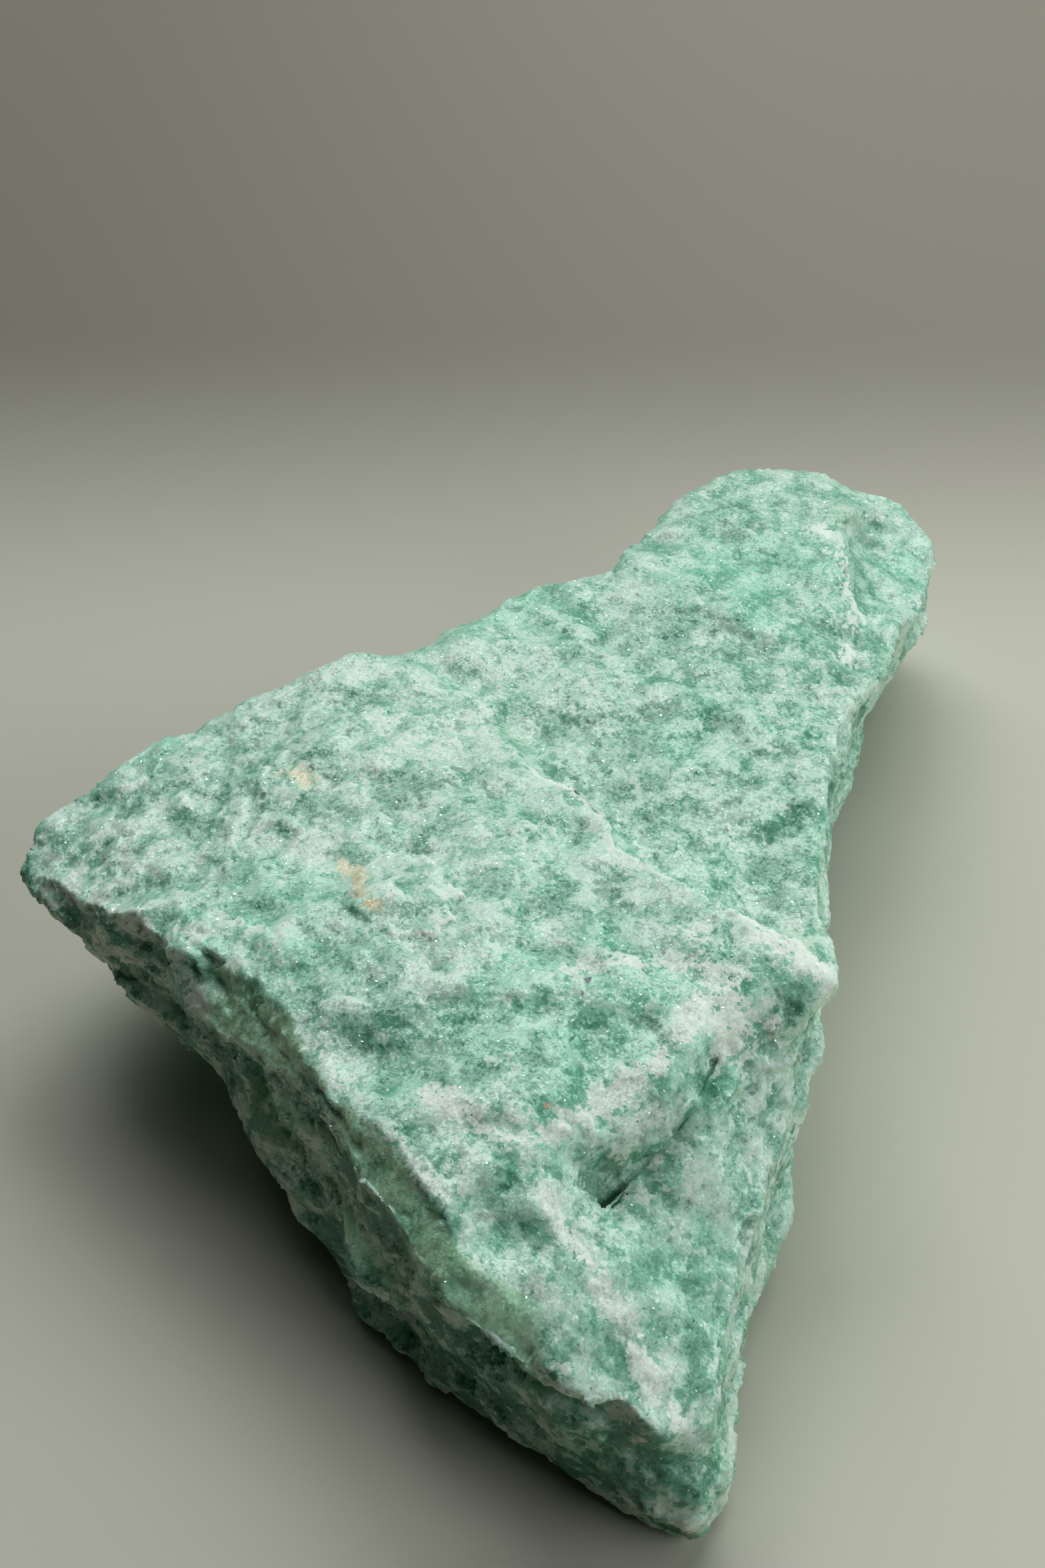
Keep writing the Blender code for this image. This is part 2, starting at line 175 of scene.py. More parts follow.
floor_mesh = bpy.data.meshes.new("floor")
corners = [(x * FLOOR_HALF, y * FLOOR_HALF, 0.0) for x, y in ((-1, -1), (1, -1), (1, 1), (-1, 1))]
floor_mesh.from_pydata(corners, [], [(0, 1, 2, 3)])
floor = bpy.data.objects.new("floor", floor_mesh)
bpy.context.scene.collection.objects.link(floor)

paper = bpy.data.materials.new("paper")
paper.use_nodes = True
tree = paper.node_tree
place = add(tree, "ShaderNodeTexCoord").outputs["Object"]
axes = add(tree, "ShaderNodeSeparateXYZ", {0: place}).outputs
# Painted shade: darker to the left and towards the back, darkest where the paper would rise.
to_right = ramp(tree, axes["X"], *PAPER_SHADE_LEFT_TO_RIGHT)
near = blend(tree, to_right, PAPER_LEFT_SHADED, PAPER)
near = vector_calc(tree, "SCALE", near, scale=ramp(tree, axes["Y"], *PAPER_SHADE_BEHIND))
far = blend(tree, to_right, PAPER_FAR_LEFT_SHADED, PAPER_FAR_SHADED)
sheet = blend(tree, ramp(tree, axes["Y"], *PAPER_SHADE_RISES), near, far)
shader = tree.nodes["Principled BSDF"]
feed(tree, shader.inputs["Base Color"], sheet)
shader.inputs["Roughness"].default_value = 0.9
shader.inputs["Specular IOR Level"].default_value = 0.15
floor_mesh.materials.append(paper)
floor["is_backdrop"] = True

# %% [markdown]
# ## The light
#
# The daylight comes from a wide window behind the block, at the height where the flat top mirrors
# it towards the camera. That gives the top its milky sheen, and leaves the near left side in deep
# shade. A pale wall on the right sends a softer light back, low over the floor.

# %% Lights
WINDOW_HEIGHT = 47.0
WINDOW_DISTANCE = 1.9
WINDOW_PANE = (1.04, 1.04)
ROOM_GLOW = 0.004


def soft_light(name, azimuth, height, distance, size, power):
    """A soft light that faces the block. Azimuth 0 is on its right, 90 behind it, in degrees."""
    light = bpy.data.lights.new(name, "AREA")
    light.shape = "RECTANGLE"
    light.size, light.size_y = size
    light.energy = power
    a, h = math.radians(azimuth), math.radians(height)
    place = distance * Vector((math.cos(a) * math.cos(h), math.sin(a) * math.cos(h), math.sin(h)))
    holder = bpy.data.objects.new(name, light)
    holder.location = place
    holder.rotation_euler = (-place).to_track_quat("-Z", "Y").to_euler()
    bpy.context.scene.collection.objects.link(holder)


soft_light("window_left", 110.0, WINDOW_HEIGHT, WINDOW_DISTANCE, WINDOW_PANE, 17.2)
soft_light("window_right", 70.0, WINDOW_HEIGHT, WINDOW_DISTANCE, WINDOW_PANE, 16.0)
soft_light("wall", -30.0, 28.0, 1.1, (0.60, 0.60), 3.6)
soft_light("low_wall", 20.0, 12.0, 1.1, (0.55, 0.45), 3.0)
soft_light("ceiling", 0.0, 90.0, 1.2, (0.80, 0.80), 0.9)
world = bpy.data.worlds.new("room")
world.use_nodes = True
world.node_tree.nodes["Background"].inputs["Strength"].default_value = ROOM_GLOW
bpy.context.scene.world = world

# %% [markdown]
# ## A finer skin
#
# The solid of the block has large facets. We copy it, merge its loose triangles into one closed
# mesh, and turn that into an even skin of small squares with a voxel remesh. A little smoothing
# melts the facets away, and leaves every ledge and hollow where it was.

# %% Skin
SKIN_SPACING = 0.00085
SAME_POINT = 1e-6
MELT_SHARE = 0.5
MELT_PASSES = 1


def with_modifier(mesh, kind, **settings):
    """The mesh that one modifier makes of this one."""
    holder = bpy.data.objects.new("holder", mesh)
    bpy.context.scene.collection.objects.link(holder)
    modifier = holder.modifiers.new("step", kind)
    for name, value in settings.items():
        setattr(modifier, name, value)
    seen = holder.evaluated_get(bpy.context.evaluated_depsgraph_get())
    made = bpy.data.meshes.new_from_object(seen)
    bpy.data.objects.remove(holder)
    return made


skin = bpy.data.meshes.new("skin")
work = bmesh.new()
work.from_mesh(block.data)
bmesh.ops.remove_doubles(work, verts=work.verts, dist=SAME_POINT)
work.to_mesh(skin)
work.free()
skin = with_modifier(skin, "REMESH", mode="VOXEL", voxel_size=SKIN_SPACING)
skin = with_modifier(skin, "SMOOTH", factor=MELT_SHARE, iterations=MELT_PASSES)
print("skin:", len(skin.vertices), "points")

# %% [markdown]
# ## Crisp breaks
#
# A fresh break in quartzite is made of flat faces that meet in crisp edges, but the remesh rounds
# them. We sharpen the skin as one sharpens a picture: smooth a copy, and push every point away from
# it. A modifier could do that only in one strength, so we work on the points themselves, as rows of
# a numpy array. First come the helpers that read them and find each point's neighbours.

# %% Helpers for points
FAR_OFF = 9.0
MM_IN_M = 1000.0


def points_of(mesh):
    """The places of a mesh's points."""
    places = np.empty(len(mesh.vertices) * 3, np.float32)
    mesh.vertices.foreach_get("co", places)
    return places.reshape(-1, 3).astype(np.float64)


def normals_of(mesh):
    """The directions in which its points face."""
    normals = np.empty(len(mesh.vertices) * 3, np.float32)
    mesh.vertices.foreach_get("normal", normals)
    return normals.reshape(-1, 3).astype(np.float64)


def pairs_of(mesh):
    """The two points of each of its edges."""
    pairs = np.empty(len(mesh.edges) * 2, np.int32)
    mesh.edges.foreach_get("vertices", pairs)
    return pairs.reshape(-1, 2)


def neighbour_mean(values, pairs):
    """The mean of each point's neighbours."""
    total = np.empty_like(values)
    count = np.bincount(pairs.ravel(), minlength=len(values))
    for column in range(values.shape[1]):
        weights = np.concatenate((values[pairs[:, 1], column], values[pairs[:, 0], column]))
        points = np.concatenate((pairs[:, 0], pairs[:, 1]))
        total[:, column] = np.bincount(points, weights, minlength=len(values)) / count
    return total


def eased(values, pairs, share):
    """The values, moved a share of the way to the mean of their neighbours."""
    return (1.0 - share) * values + share * neighbour_mean(values, pairs)


def fade(distance, run):
    """0 up to a distance of 0, 1 from a distance of run on, straight in between."""
    return np.clip(distance / run, 0.0, 1.0)


def round_mm(metres):
    """A length in millimetres, for the printed notes."""
    return round(MM_IN_M * float(metres), 2)


def from_line(places, line):
    """Each point's distance from a line of several points."""
    nearest = np.full(len(places), FAR_OFF)
    line = np.array(line)
    for start, end in zip(line[:-1], line[1:]):
        run = end - start
        share = np.clip((places - start) @ run / (run @ run), 0.0, 1.0)
        away = places - start - share[:, None] * run
        nearest = np.minimum(nearest, np.linalg.norm(away, axis=1))
    return nearest


def on_line(places, line, reach):
    """1 on a line, falling evenly to 0 at its reach."""
    return np.clip(1.0 - from_line(places, line) / reach, 0.0, 1.0)


# %% Sharpen the skin
SMOOTH_SHARE = 0.6
SHARPEN_PASSES = 22
SHARPEN_STRENGTH = 0.8
FURTHEST = 0.0011
SEAT_CALM = (0.0005, 0.0030)

pairs = pairs_of(skin)
places = points_of(skin)
normals = normals_of(skin)
smooth = places.copy()
for _ in range(SHARPEN_PASSES):
    smooth = eased(smooth, pairs, SMOOTH_SHARE)
push = SHARPEN_STRENGTH * ((places - smooth) * normals).sum(axis=1)
calm = fade(places[:, 2] - SEAT_CALM[0], SEAT_CALM[1] - SEAT_CALM[0])
push = np.clip(push, -FURTHEST, FURTHEST) * calm
places += normals * push[:, None]
print("sharpened by up to", round_mm(np.percentile(abs(push), 99)), "mm")

# %% [markdown]
# ## Flat faces
#
# Sharpening leaves the slopes between two edges a little hollow. So each small face now takes the
# mean direction of those neighbours that face nearly its own way, again and again: slopes turn flat
# and edges stay. Then the points are moved until the faces lie as they should.

# %% Flatten the faces between the edges
FLATTEN_PASSES = 24
SAME_WAY = 0.24
FIT_PASSES = 14


def flattened(mesh, places):
    """The points of a mesh once its faces are flattened and its edges kept."""
    mesh.vertices.foreach_set("co", places.astype(np.float32).ravel())
    mesh.update()
    sides = np.empty(len(mesh.polygons), np.int32)
    mesh.polygons.foreach_get("loop_total", sides)
    facing = np.empty(len(mesh.polygons) * 3, np.float32)
    mesh.polygons.foreach_get("normal", facing)
    facing = facing.reshape(-1, 3).astype(np.float64)
    corner_point = np.empty(len(mesh.loops), np.int32)
    mesh.loops.foreach_get("vertex_index", corner_point)
    corner_edge = np.empty(len(mesh.loops), np.int32)
    mesh.loops.foreach_get("edge_index", corner_edge)
    corner_face = np.repeat(np.arange(len(sides)), sides)

    order = np.argsort(corner_edge, kind="stable")
    edge_sorted, face_sorted = corner_edge[order], corner_face[order]
    first = np.flatnonzero(np.diff(edge_sorted, prepend=-1))
    paired = first[np.bincount(corner_edge, minlength=len(mesh.edges))[edge_sorted[first]] == 2]
    left, right = face_sorted[paired], face_sorted[paired + 1]
    for _ in range(FLATTEN_PASSES):
        apart = ((facing[left] - facing[right]) ** 2).sum(axis=1)
        weight = np.exp(-apart / (2.0 * SAME_WAY ** 2))
        total = facing.copy()
        for here, there in ((left, right), (right, left)):
            for column in range(3):
                pull = weight * facing[there, column]
                total[:, column] += np.bincount(here, pull, minlength=len(sides))
        facing = total / np.linalg.norm(total, axis=1)[:, None]

    shared = np.bincount(corner_point, minlength=len(places))
    for _ in range(FIT_PASSES):
        middle = np.empty_like(facing)
        corners = places[corner_point]
        for column in range(3):
            total = np.bincount(corner_face, corners[:, column], minlength=len(sides))
            middle[:, column] = total / sides
        off = ((middle[corner_face] - corners) * facing[corner_face]).sum(axis=1)
        for column in range(3):
            push = off * facing[corner_face, column]
            step = np.bincount(corner_point, push, minlength=len(places))
            places[:, column] += step / shared
    return places


rough = places.copy()
places = flattened(skin, places)
places = rough + (places - rough) * calm[:, None]
moved = np.linalg.norm(places - rough, axis=1)
print("flattened by up to", round_mm(np.percentile(moved, 99)), "mm")

# %% [markdown]
# ## The breaks that this block is known by
#
# A step runs across the top, the near edge is broken off at a slant, and a scoop is broken out
# below the high corner. Seen from above, each is a line or an outline, so we measure the points'
# distance from it in plan and move them up or down. No neighbour has to be known, and the edge
# comes out as sharp as the mesh is.

# %% Helpers for lines seen from above
CM_IN_M = 100.0


def beside_line(plan, line):
    """Each point's distance from a line, above zero on its left and below zero on its right."""
    nearest = np.full(len(plan), FAR_OFF)
    signed = np.zeros(len(plan))
    line = np.array(line)
    for start, end in zip(line[:-1], line[1:]):
        run = end - start
        share = np.clip((plan - start) @ run / (run @ run), 0.0, 1.0)
        away = plan - start - share[:, None] * run
        distance = np.linalg.norm(away, axis=1)
        side = np.sign(run[0] * away[:, 1] - run[1] * away[:, 0])
        closer = distance < nearest
        nearest[closer] = distance[closer]
        signed[closer] = (distance * side)[closer]
    return signed


def inside_outline(plan, outline):
    """Which points lie inside an outline."""
    inside = np.zeros(len(plan), bool)
    corners = np.array(outline + outline[:1])
    for (x0, y0), (x1, y1) in zip(corners[:-1], corners[1:]):
        crosses = (y0 > plan[:, 1]) != (y1 > plan[:, 1])
        with np.errstate(divide="ignore", invalid="ignore"):
            border = x0 + (plan[:, 1] - y0) * (x1 - x0) / (y1 - y0)
            inside ^= crosses & (plan[:, 0] < border)
    return inside


def fitted_heights(places, chosen):
    """A gently curved sheet fitted to the chosen points, as a height for every point."""
    x, y = CM_IN_M * places[:, 0], CM_IN_M * places[:, 1]
    terms = np.stack((np.ones_like(x), x, y, x * x, x * y, y * y), axis=1)
    shape = np.linalg.lstsq(terms[chosen], places[chosen, 2], rcond=None)[0]
    return terms @ shape


def raised_line(plan_line, shift, height):
    """A line seen from above, moved a little and set at a height."""
    return tuple((x + shift[0], y + shift[1], height) for x, y in plan_line)


# %% [markdown]
# ## The step across the top
#
# The near part of the top stands seven millimetres higher than the far part, because a thick sheet
# of the rock has come off there. The solid has this step too, but softened by the remesh. We fit a
# gently curved sheet to the top on each side of the line, and set the points between them anew.

# %% Recut the step across the top
STEP_EDGE = (
    (-0.0030, 0.0150), (0.0004, 0.0114), (0.0030, 0.0079), (0.0071, 0.0033), (0.0108, 0.0009),
    (0.0140, -0.0040), (0.0165, -0.0081), (0.0181, -0.0124), (0.0191, -0.0194), (0.0232, -0.0229),
    (0.0309, -0.0290), (0.0381, -0.0360), (0.0468, -0.0411), (0.0514, -0.0435), (0.0566, -0.0470),
)
STEP_WALL = 0.0014
STEP_REACH = 0.0090
STEP_FADE = 0.004
STEP_END = 0.0560
STEP_TAPER = 0.006
SAME_HEIGHT = 0.0012
HEIGHT_FADE = 0.0010
TOP_ABOVE = 0.046
TOP_FACING = 0.80
SHEET_BESIDE = (0.007, 0.016)
FAR_SHEET_ENDS = 0.058

top = (places[:, 2] > TOP_ABOVE) & (normals[:, 2] > TOP_FACING)
beyond = beside_line(places[:, :2], STEP_EDGE)
beside = top & (abs(beyond) > SHEET_BESIDE[0]) & (abs(beyond) < SHEET_BESIDE[1])
near_sheet = fitted_heights(places, beside & (beyond < 0.0) & (places[:, 0] > 0.0))
far_sheet = fitted_heights(places, beside & (beyond > 0.0) & (places[:, 0] < FAR_SHEET_ENDS))
wanted = near_sheet + (far_sheet - near_sheet) * fade(beyond, STEP_WALL)
gap = wanted - places[:, 2]
there = fade(STEP_REACH - abs(beyond), STEP_FADE) * (places[:, 2] > TOP_ABOVE)
there *= fade(places[:, 0] - STEP_EDGE[0][0], STEP_TAPER)
there *= fade(STEP_END - places[:, 0], STEP_TAPER)
off = fade(abs(gap) - SAME_HEIGHT, HEIGHT_FADE)
places[:, 2] += gap * there * off
print("step: moved by up to", round_mm(abs(gap * there * off).max()), "mm")

# %% [markdown]
# ## The slanted break under the near edge
#
# Below its near edge the top breaks off at about 45 degrees, and only then the side turns steep.
# We continue the top as a sheet, slope it down beyond the edge, and cut off whatever stands above.

# %% Bevel the near edge
BEVEL_TOP = (
    (-0.0675, -0.0462), (-0.0606, -0.0524), (-0.0531, -0.0594), (-0.0468, -0.0666),
    (-0.0420, -0.0770), (-0.0380, -0.0845), (-0.0328, -0.0905), (-0.0243, -0.1001),
    (-0.0199, -0.1074), (-0.0142, -0.1160), (-0.0112, -0.1210), (-0.0075, -0.1236),
    (-0.0030, -0.1253), (0.0008, -0.1268), (0.0050, -0.1288),
)
BEVEL_SLOPE = 1.0
BEVEL_WIDTH = 0.016
BEVEL_TAPER = 0.005
RIM_BAND = (0.0005, 0.009)
UPPER_HALF = 0.030


def along_bevel(places):
    """1 along the bevel, fading to 0 at both of its ends."""
    from_start = fade(places[:, 0] - BEVEL_TOP[0][0], BEVEL_TAPER)
    return from_start * fade(BEVEL_TOP[-1][0] - places[:, 0], BEVEL_TAPER)


inward = beside_line(places[:, :2], BEVEL_TOP)
rim = top & (along_bevel(places) > 0.0) & (inward > RIM_BAND[0]) & (inward < RIM_BAND[1])
rim_sheet = fitted_heights(places, rim)
too_high = places[:, 2] - (rim_sheet + BEVEL_SLOPE * np.minimum(inward, 0.0))
there = (inward < 0.0) & (inward > -BEVEL_WIDTH) & (places[:, 2] > UPPER_HALF)
cut = np.maximum(too_high, 0.0) * (along_bevel(places) * there)
places[:, 2] -= cut
print("bevel: cut by up to", round_mm(cut.max()), "mm")

# %% [markdown]
# ## The scoop and its groove
#
# The wall of the scoop below the high corner is a smooth, shell-shaped break, so the ledges that
# sharpening made there are eased away. At the foot of the wall runs a groove that ends in a small
# dark pit. A flat facet stands beside it, and meets the groove in a crisp lip.

# %% Soften the wall of the scoop
SOFT_PLACE = (0.0467, -0.0646, 0.0549)
SOFT_REACH = 0.0120
SOFT_CORE = 1.6
SOFT_PASSES = 90

away = np.linalg.norm(places - SOFT_PLACE, axis=1)
softness = np.clip(SOFT_CORE * (1.0 - away / SOFT_REACH), 0.0, 1.0)[:, None]
for _ in range(SOFT_PASSES):
    places += SMOOTH_SHARE * softness * (neighbour_mean(places, pairs) - places)
print("softened:", int((softness > 0.0).sum()), "points")

# %% The groove in the scoop, and its lip
LIP = (
    (0.0159, -0.1035), (0.0176, -0.1015), (0.0219, -0.0969), (0.0275, -0.0905),
    (0.0318, -0.0848), (0.0352, -0.0805), (0.0366, -0.0776),
)
LIP_WALL = 0.0006
FACET_EDGE = (
    (0.0390, -0.0815), (0.0377, -0.0863), (0.0314, -0.0944), (0.0273, -0.0990),
    (0.0250, -0.1040), (0.0215, -0.1052), (0.0165, -0.1050),
)
FACET_SLOPES = (-0.139, 0.360, 0.0)
FACET_HEIGHT = 0.0828
GROOVE = (
    (0.0142, -0.1024), (0.0166, -0.1007), (0.0209, -0.0961), (0.0265, -0.0897),
    (0.0308, -0.0840), (0.0342, -0.0797), (0.0356, -0.0768), (0.0372, -0.0738),
)
GROOVE_HALF_WIDTH = 0.0020
GROOVE_DEPTH = 0.0024
PIT_HALF_WIDTH = 0.0040
PIT_DEPTH = 0.0030
RELAX_SHARE = 0.5
RELAX_PASSES = 12

plan = places[:, :2]
facet = inside_outline(plan, LIP + FACET_EDGE) & (places[:, 2] > UPPER_HALF)
facet_height = places @ FACET_SLOPES + FACET_HEIGHT
places[facet, 2] = np.maximum(places[facet, 2], facet_height[facet])
for _ in range(RELAX_PASSES):
    places[facet] = eased(places, pairs, RELAX_SHARE)[facet]
    places[facet, 2] = np.maximum(places[facet, 2], facet_height[facet])
plan = places[:, :2]
cut = GROOVE_DEPTH * on_line(plan, GROOVE, GROOVE_HALF_WIDTH)
cut += PIT_DEPTH * on_line(plan, GROOVE[:2], PIT_HALF_WIDTH)
cut *= fade(beside_line(plan, LIP), LIP_WALL)
places[:, 2] -= cut * (places[:, 2] > UPPER_HALF)
print("groove:", int((cut > 0.0).sum()), "points cut, facet beside it:", int(facet.sum()))

# %% [markdown]
# ## Small grooves, ridges and a loose flake
#
# A few cracks and creases are seen so well in the photograph that each has its own line. A groove
# pushes the points in, a ridge lifts them, and both fade out evenly on either side of the line. The
# loose flake beside the rusty stain is an outline, and its points are lifted by its thickness.

# %% Cut the small grooves and lift the flake
NOTCH = ((-0.0658, -0.0495, 0.0569), (-0.0636, -0.0537, 0.0534), (-0.0603, -0.0590, 0.0529))
HOLE = ((-0.0560, -0.0645, 0.0372), (-0.0548, -0.0660, 0.0362))
SLIT = ((-0.0408, -0.0828, 0.0538), (-0.0357, -0.0911, 0.0549), (-0.0313, -0.1006, 0.0543))
# A groove has a half width, a depth and a line. A crest has a half width, a height and a line.
GROOVES = (
    # the fold in the scoop's floor
    (0.0016, 0.0010, ((0.0571, -0.0609, 0.0391), (0.0510, -0.0698, 0.0444),
                      (0.0444, -0.0762, 0.0458), (0.0400, -0.0800, 0.0480))),
    # the crack beside the rusty stain, and the notch in the near edge
    (0.0010, 0.0006, ((-0.0334, -0.0217, 0.0597), (-0.0270, -0.0205, 0.0600),
                      (-0.0154, -0.0212, 0.0617), (-0.0011, -0.0158, 0.0622))),
    (0.0018, 0.0012, ((-0.0689, -0.0459, 0.0573), *NOTCH)),
    # the crease below the pale ridge of the tail
    (0.0022, 0.0014, ((0.0828, 0.0987, 0.0537), (0.0863, 0.0933, 0.0470),
                      (0.0847, 0.0750, 0.0496), (0.0824, 0.0619, 0.0489))),
    # the hole and the slit in the near side
    (0.0034, 0.0022, HOLE),
    (0.0014, 0.0012, SLIT),
)
CRESTS = (
    # the edge where the scoop's floor turns down
    (0.0022, 0.0009, ((0.0489, -0.0699, 0.0468), (0.0481, -0.0746, 0.0433),
                      (0.0468, -0.0863, 0.0362), (0.0432, -0.1034, 0.0310),
                      (0.0368, -0.1231, 0.0308), (0.0345, -0.1360, 0.0293))),
    # the rim of the step
    (0.0016, 0.0005, raised_line(STEP_EDGE[2:-2], (-0.0004, -0.0004), 0.0612)),
)
FLAKE = (
    (-0.034, -0.021), (-0.026, -0.0195), (-0.0197, -0.0233), (-0.0152, -0.0288),
    (-0.0133, -0.0362), (-0.0149, -0.0424), (-0.0164, -0.0482), (-0.024, -0.050),
    (-0.031, -0.047), (-0.037, -0.040), (-0.037, -0.030),
)
FLAKE_HEIGHT = 0.0010
FLAKE_EDGE = 0.0009
FLAKE_WAVE = 0.0009
FLAKE_WAVES = 900.0


def on_flake(places):
    """Each point's distance inside the flake's wavy outline, or 0 outside it."""
    plan = places[:, :2] + FLAKE_WAVE * np.sin(FLAKE_WAVES * places[:, 1::-1])
    inside = inside_outline(plan, FLAKE) & (places[:, 2] > TOP_ABOVE)
    return from_line(plan, FLAKE + FLAKE[:1]) * inside


push = np.zeros(len(places))
for half_width, depth, line in GROOVES:
    push -= depth * on_line(places, line, half_width)
lift = np.zeros(len(places))
for half_width, height, line in CRESTS:
    lift += height * on_line(places, line, half_width)
lift += FLAKE_HEIGHT * fade(on_flake(places), FLAKE_EDGE)
places += normals * push[:, None]
places[:, 2] += lift
skin.vertices.foreach_set("co", places.astype(np.float32).ravel())
skin.update()
print("points cut:", int((push < 0.0).sum()), "and lifted:", int((lift > 0.0).sum()))

# %% [markdown]
# ## Breaking the surface
#
# The rock splits along thin layers that lie almost flat. On the top this leaves torn sheets on one
# another, each a fraction of a millimetre thick, with ragged edges. On the steep sides each layer
# ends at its own depth, which makes small ledges. Hammer blows leave shell-shaped chips on all of
# it. All three follow a rule, so Geometry Nodes move the skin: every size is a named input.

# %% Sizes of the breakage
LAYER_UP = Vector((0.05, -0.04, 1.0)).normalized()
BREAKAGE = {
    "Sheet thickness": 0.00032,
    "Sheet run": 0.016,
    "Layer thickness": 0.0026,
    "Ledge depth": 0.0006,
    "Ledge run": 0.010,
    "Flake run": 0.0065,
    "Flake slope": 0.24,
    "Chip run": 0.0027,
    "Chip slope": 0.34,
    "Seat band": 0.0015,
}
SEAT_LEVEL = 0.0004
FLAT_FACING = (0.55, 0.88)
MORE_TORN = (-0.030, -0.075, 1.0, 1.6)
SHEET_STRETCH = (0.95, 0.80, 0.5)
SHEET_SHARES = (1.0, 0.42, 0.18)
SHEET_HEIGHTS = (1.0, 0.7, 0.45)
SHEET_TEAR = (0.475, 0.525)
SHEET_SHIFT = (0.7, 0.0, -0.4)
SHEET_START = (0.0, 0.3, 0.0)
LAYER_BEND = 0.012
LAYER_BEND_RUN = 0.030
LAYER_APART = 7.3
LEDGE_CORNER = (0.72, 1.0)
LEDGE_GAIN = 3.0
CHIP_STRETCH = (1.0, 0.85, 1.5)
CHIP_SHAKES = 240.0
CHIP_SHAKE = 0.0028
print("breakage, in metres:", BREAKAGE)

# %% Helpers for broken surfaces
HALF = (0.5, 0.5, 0.5)


def tree_with_inputs(name, sizes):
    """An empty geometry tree with a named input for each size."""
    tree = bpy.data.node_groups.new(name, "GeometryNodeTree")
    tree.interface.new_socket("Geometry", in_out="INPUT", socket_type="NodeSocketGeometry")
    tree.interface.new_socket("Geometry", in_out="OUTPUT", socket_type="NodeSocketGeometry")
    for label in sizes:
        kind = "NodeSocketInt" if isinstance(sizes[label], int) else "NodeSocketFloat"
        tree.interface.new_socket(label, in_out="INPUT", socket_type=kind)
    return tree, add(tree, "NodeGroupInput").outputs, add(tree, "NodeGroupOutput").inputs


def torn_sheets(tree, place, run, step):
    """Noise round 0.5. A sheet is torn off where it is low."""
    along = vector_calc(tree, "MULTIPLY", place, SHEET_STRETCH)
    shift = tuple(start + way * step for start, way in zip(SHEET_START, SHEET_SHIFT))
    moved = vector_calc(tree, "ADD", along, shift)
    scale = calc(tree, "DIVIDE", 1.0, run)
    inputs = {"Vector": moved, "Scale": scale, "Detail": 3.0, "Roughness": 0.6}
    return add(tree, "ShaderNodeTexNoise", inputs).outputs[0]


def shaken(tree, place, scale, reach, along):
    """A place moved a little to and fro, so that what follows it gets ragged borders."""
    shake = add(tree, "ShaderNodeTexNoise", {"Vector": place, "Scale": scale, "Detail": 2.0})
    shake = vector_calc(tree, "SUBTRACT", shake.outputs[1], HALF)
    shake = vector_calc(tree, "SCALE", shake, scale=reach)
    return vector_calc(tree, "ADD", along, shake), shake


def broken_cells(tree, place, scale):
    """Small broken planes: a random value for each, and its tilted height."""
    cell = add(tree, "ShaderNodeTexVoronoi", {"Vector": place, "Scale": scale})
    from_middle = vector_calc(tree, "SUBTRACT", place, cell.outputs["Position"])
    tilt = vector_calc(tree, "SUBTRACT", cell.outputs["Color"], HALF)
    value = add(tree, "ShaderNodeSeparateXYZ", {0: cell.outputs["Color"]}).outputs["X"]
    return calc(tree, "SUBTRACT", value, 0.5), vector_calc(tree, "DOT_PRODUCT", from_middle, tilt)


# %% Torn sheets on the top
tree, given, result = tree_with_inputs("break_surface", BREAKAGE)
place = add(tree, "GeometryNodeInputPosition").outputs[0]
out = add(tree, "GeometryNodeInputNormal").outputs[0]
across = calc(tree, "ABSOLUTE", vector_calc(tree, "DOT_PRODUCT", out, LAYER_UP))
flat = ramp(tree, across, *FLAT_FACING)
axes = add(tree, "ShaderNodeSeparateXYZ", {0: place}).outputs

# Three sets, each finer than the one before, and all of them higher towards the left tip.
heights = []
for step, (share, thick) in enumerate(zip(SHEET_SHARES, SHEET_HEIGHTS)):
    run = times(tree, given["Sheet run"], share)
    sheet = ramp(tree, torn_sheets(tree, place, run, step), *SHEET_TEAR, -thick / 2, thick / 2)
    heights.append(times(tree, sheet, given["Sheet thickness"]))
sheets = calc(tree, "ADD", calc(tree, "ADD", heights[0], heights[1]), heights[2])
sheets = times(tree, sheets, times(tree, flat, ramp(tree, axes["X"], *MORE_TORN)))

# %% Ledges on the sides
# Each layer has its own depth, and steps to the next near its upper edge.
bend = times(tree, clouds(tree, place, LAYER_BEND_RUN, seed=3.0), LAYER_BEND)
up = calc(tree, "ADD", vector_calc(tree, "DOT_PRODUCT", place, LAYER_UP), bend)
layer = calc(tree, "DIVIDE", up, given["Layer thickness"])
number = calc(tree, "FLOOR", layer)
over = calc(tree, "SUBTRACT", layer, number)
run_x = calc(tree, "DIVIDE", axes["X"], given["Ledge run"])
run_y = calc(tree, "DIVIDE", axes["Y"], given["Ledge run"])
depths = []
for higher in (0.0, 1.0):
    level = times(tree, calc(tree, "ADD", number, higher), LAYER_APART)
    spot = add(tree, "ShaderNodeCombineXYZ", {0: run_x, 1: run_y, 2: level}).outputs[0]
    inputs = {"Vector": spot, "Scale": 1.0, "Detail": 2.5, "Roughness": 0.55}
    depths.append(add(tree, "ShaderNodeTexNoise", inputs).outputs[0])
mixing = {0: ramp(tree, over, *LEDGE_CORNER), 2: depths[0], 3: depths[1]}
depth = calc(tree, "SUBTRACT", add(tree, "ShaderNodeMix", mixing).outputs[0], 0.5)
depth = times(tree, times(tree, depth, given["Ledge depth"]), LEDGE_GAIN)
ledges = times(tree, depth, calc(tree, "SUBTRACT", 1.0, flat))

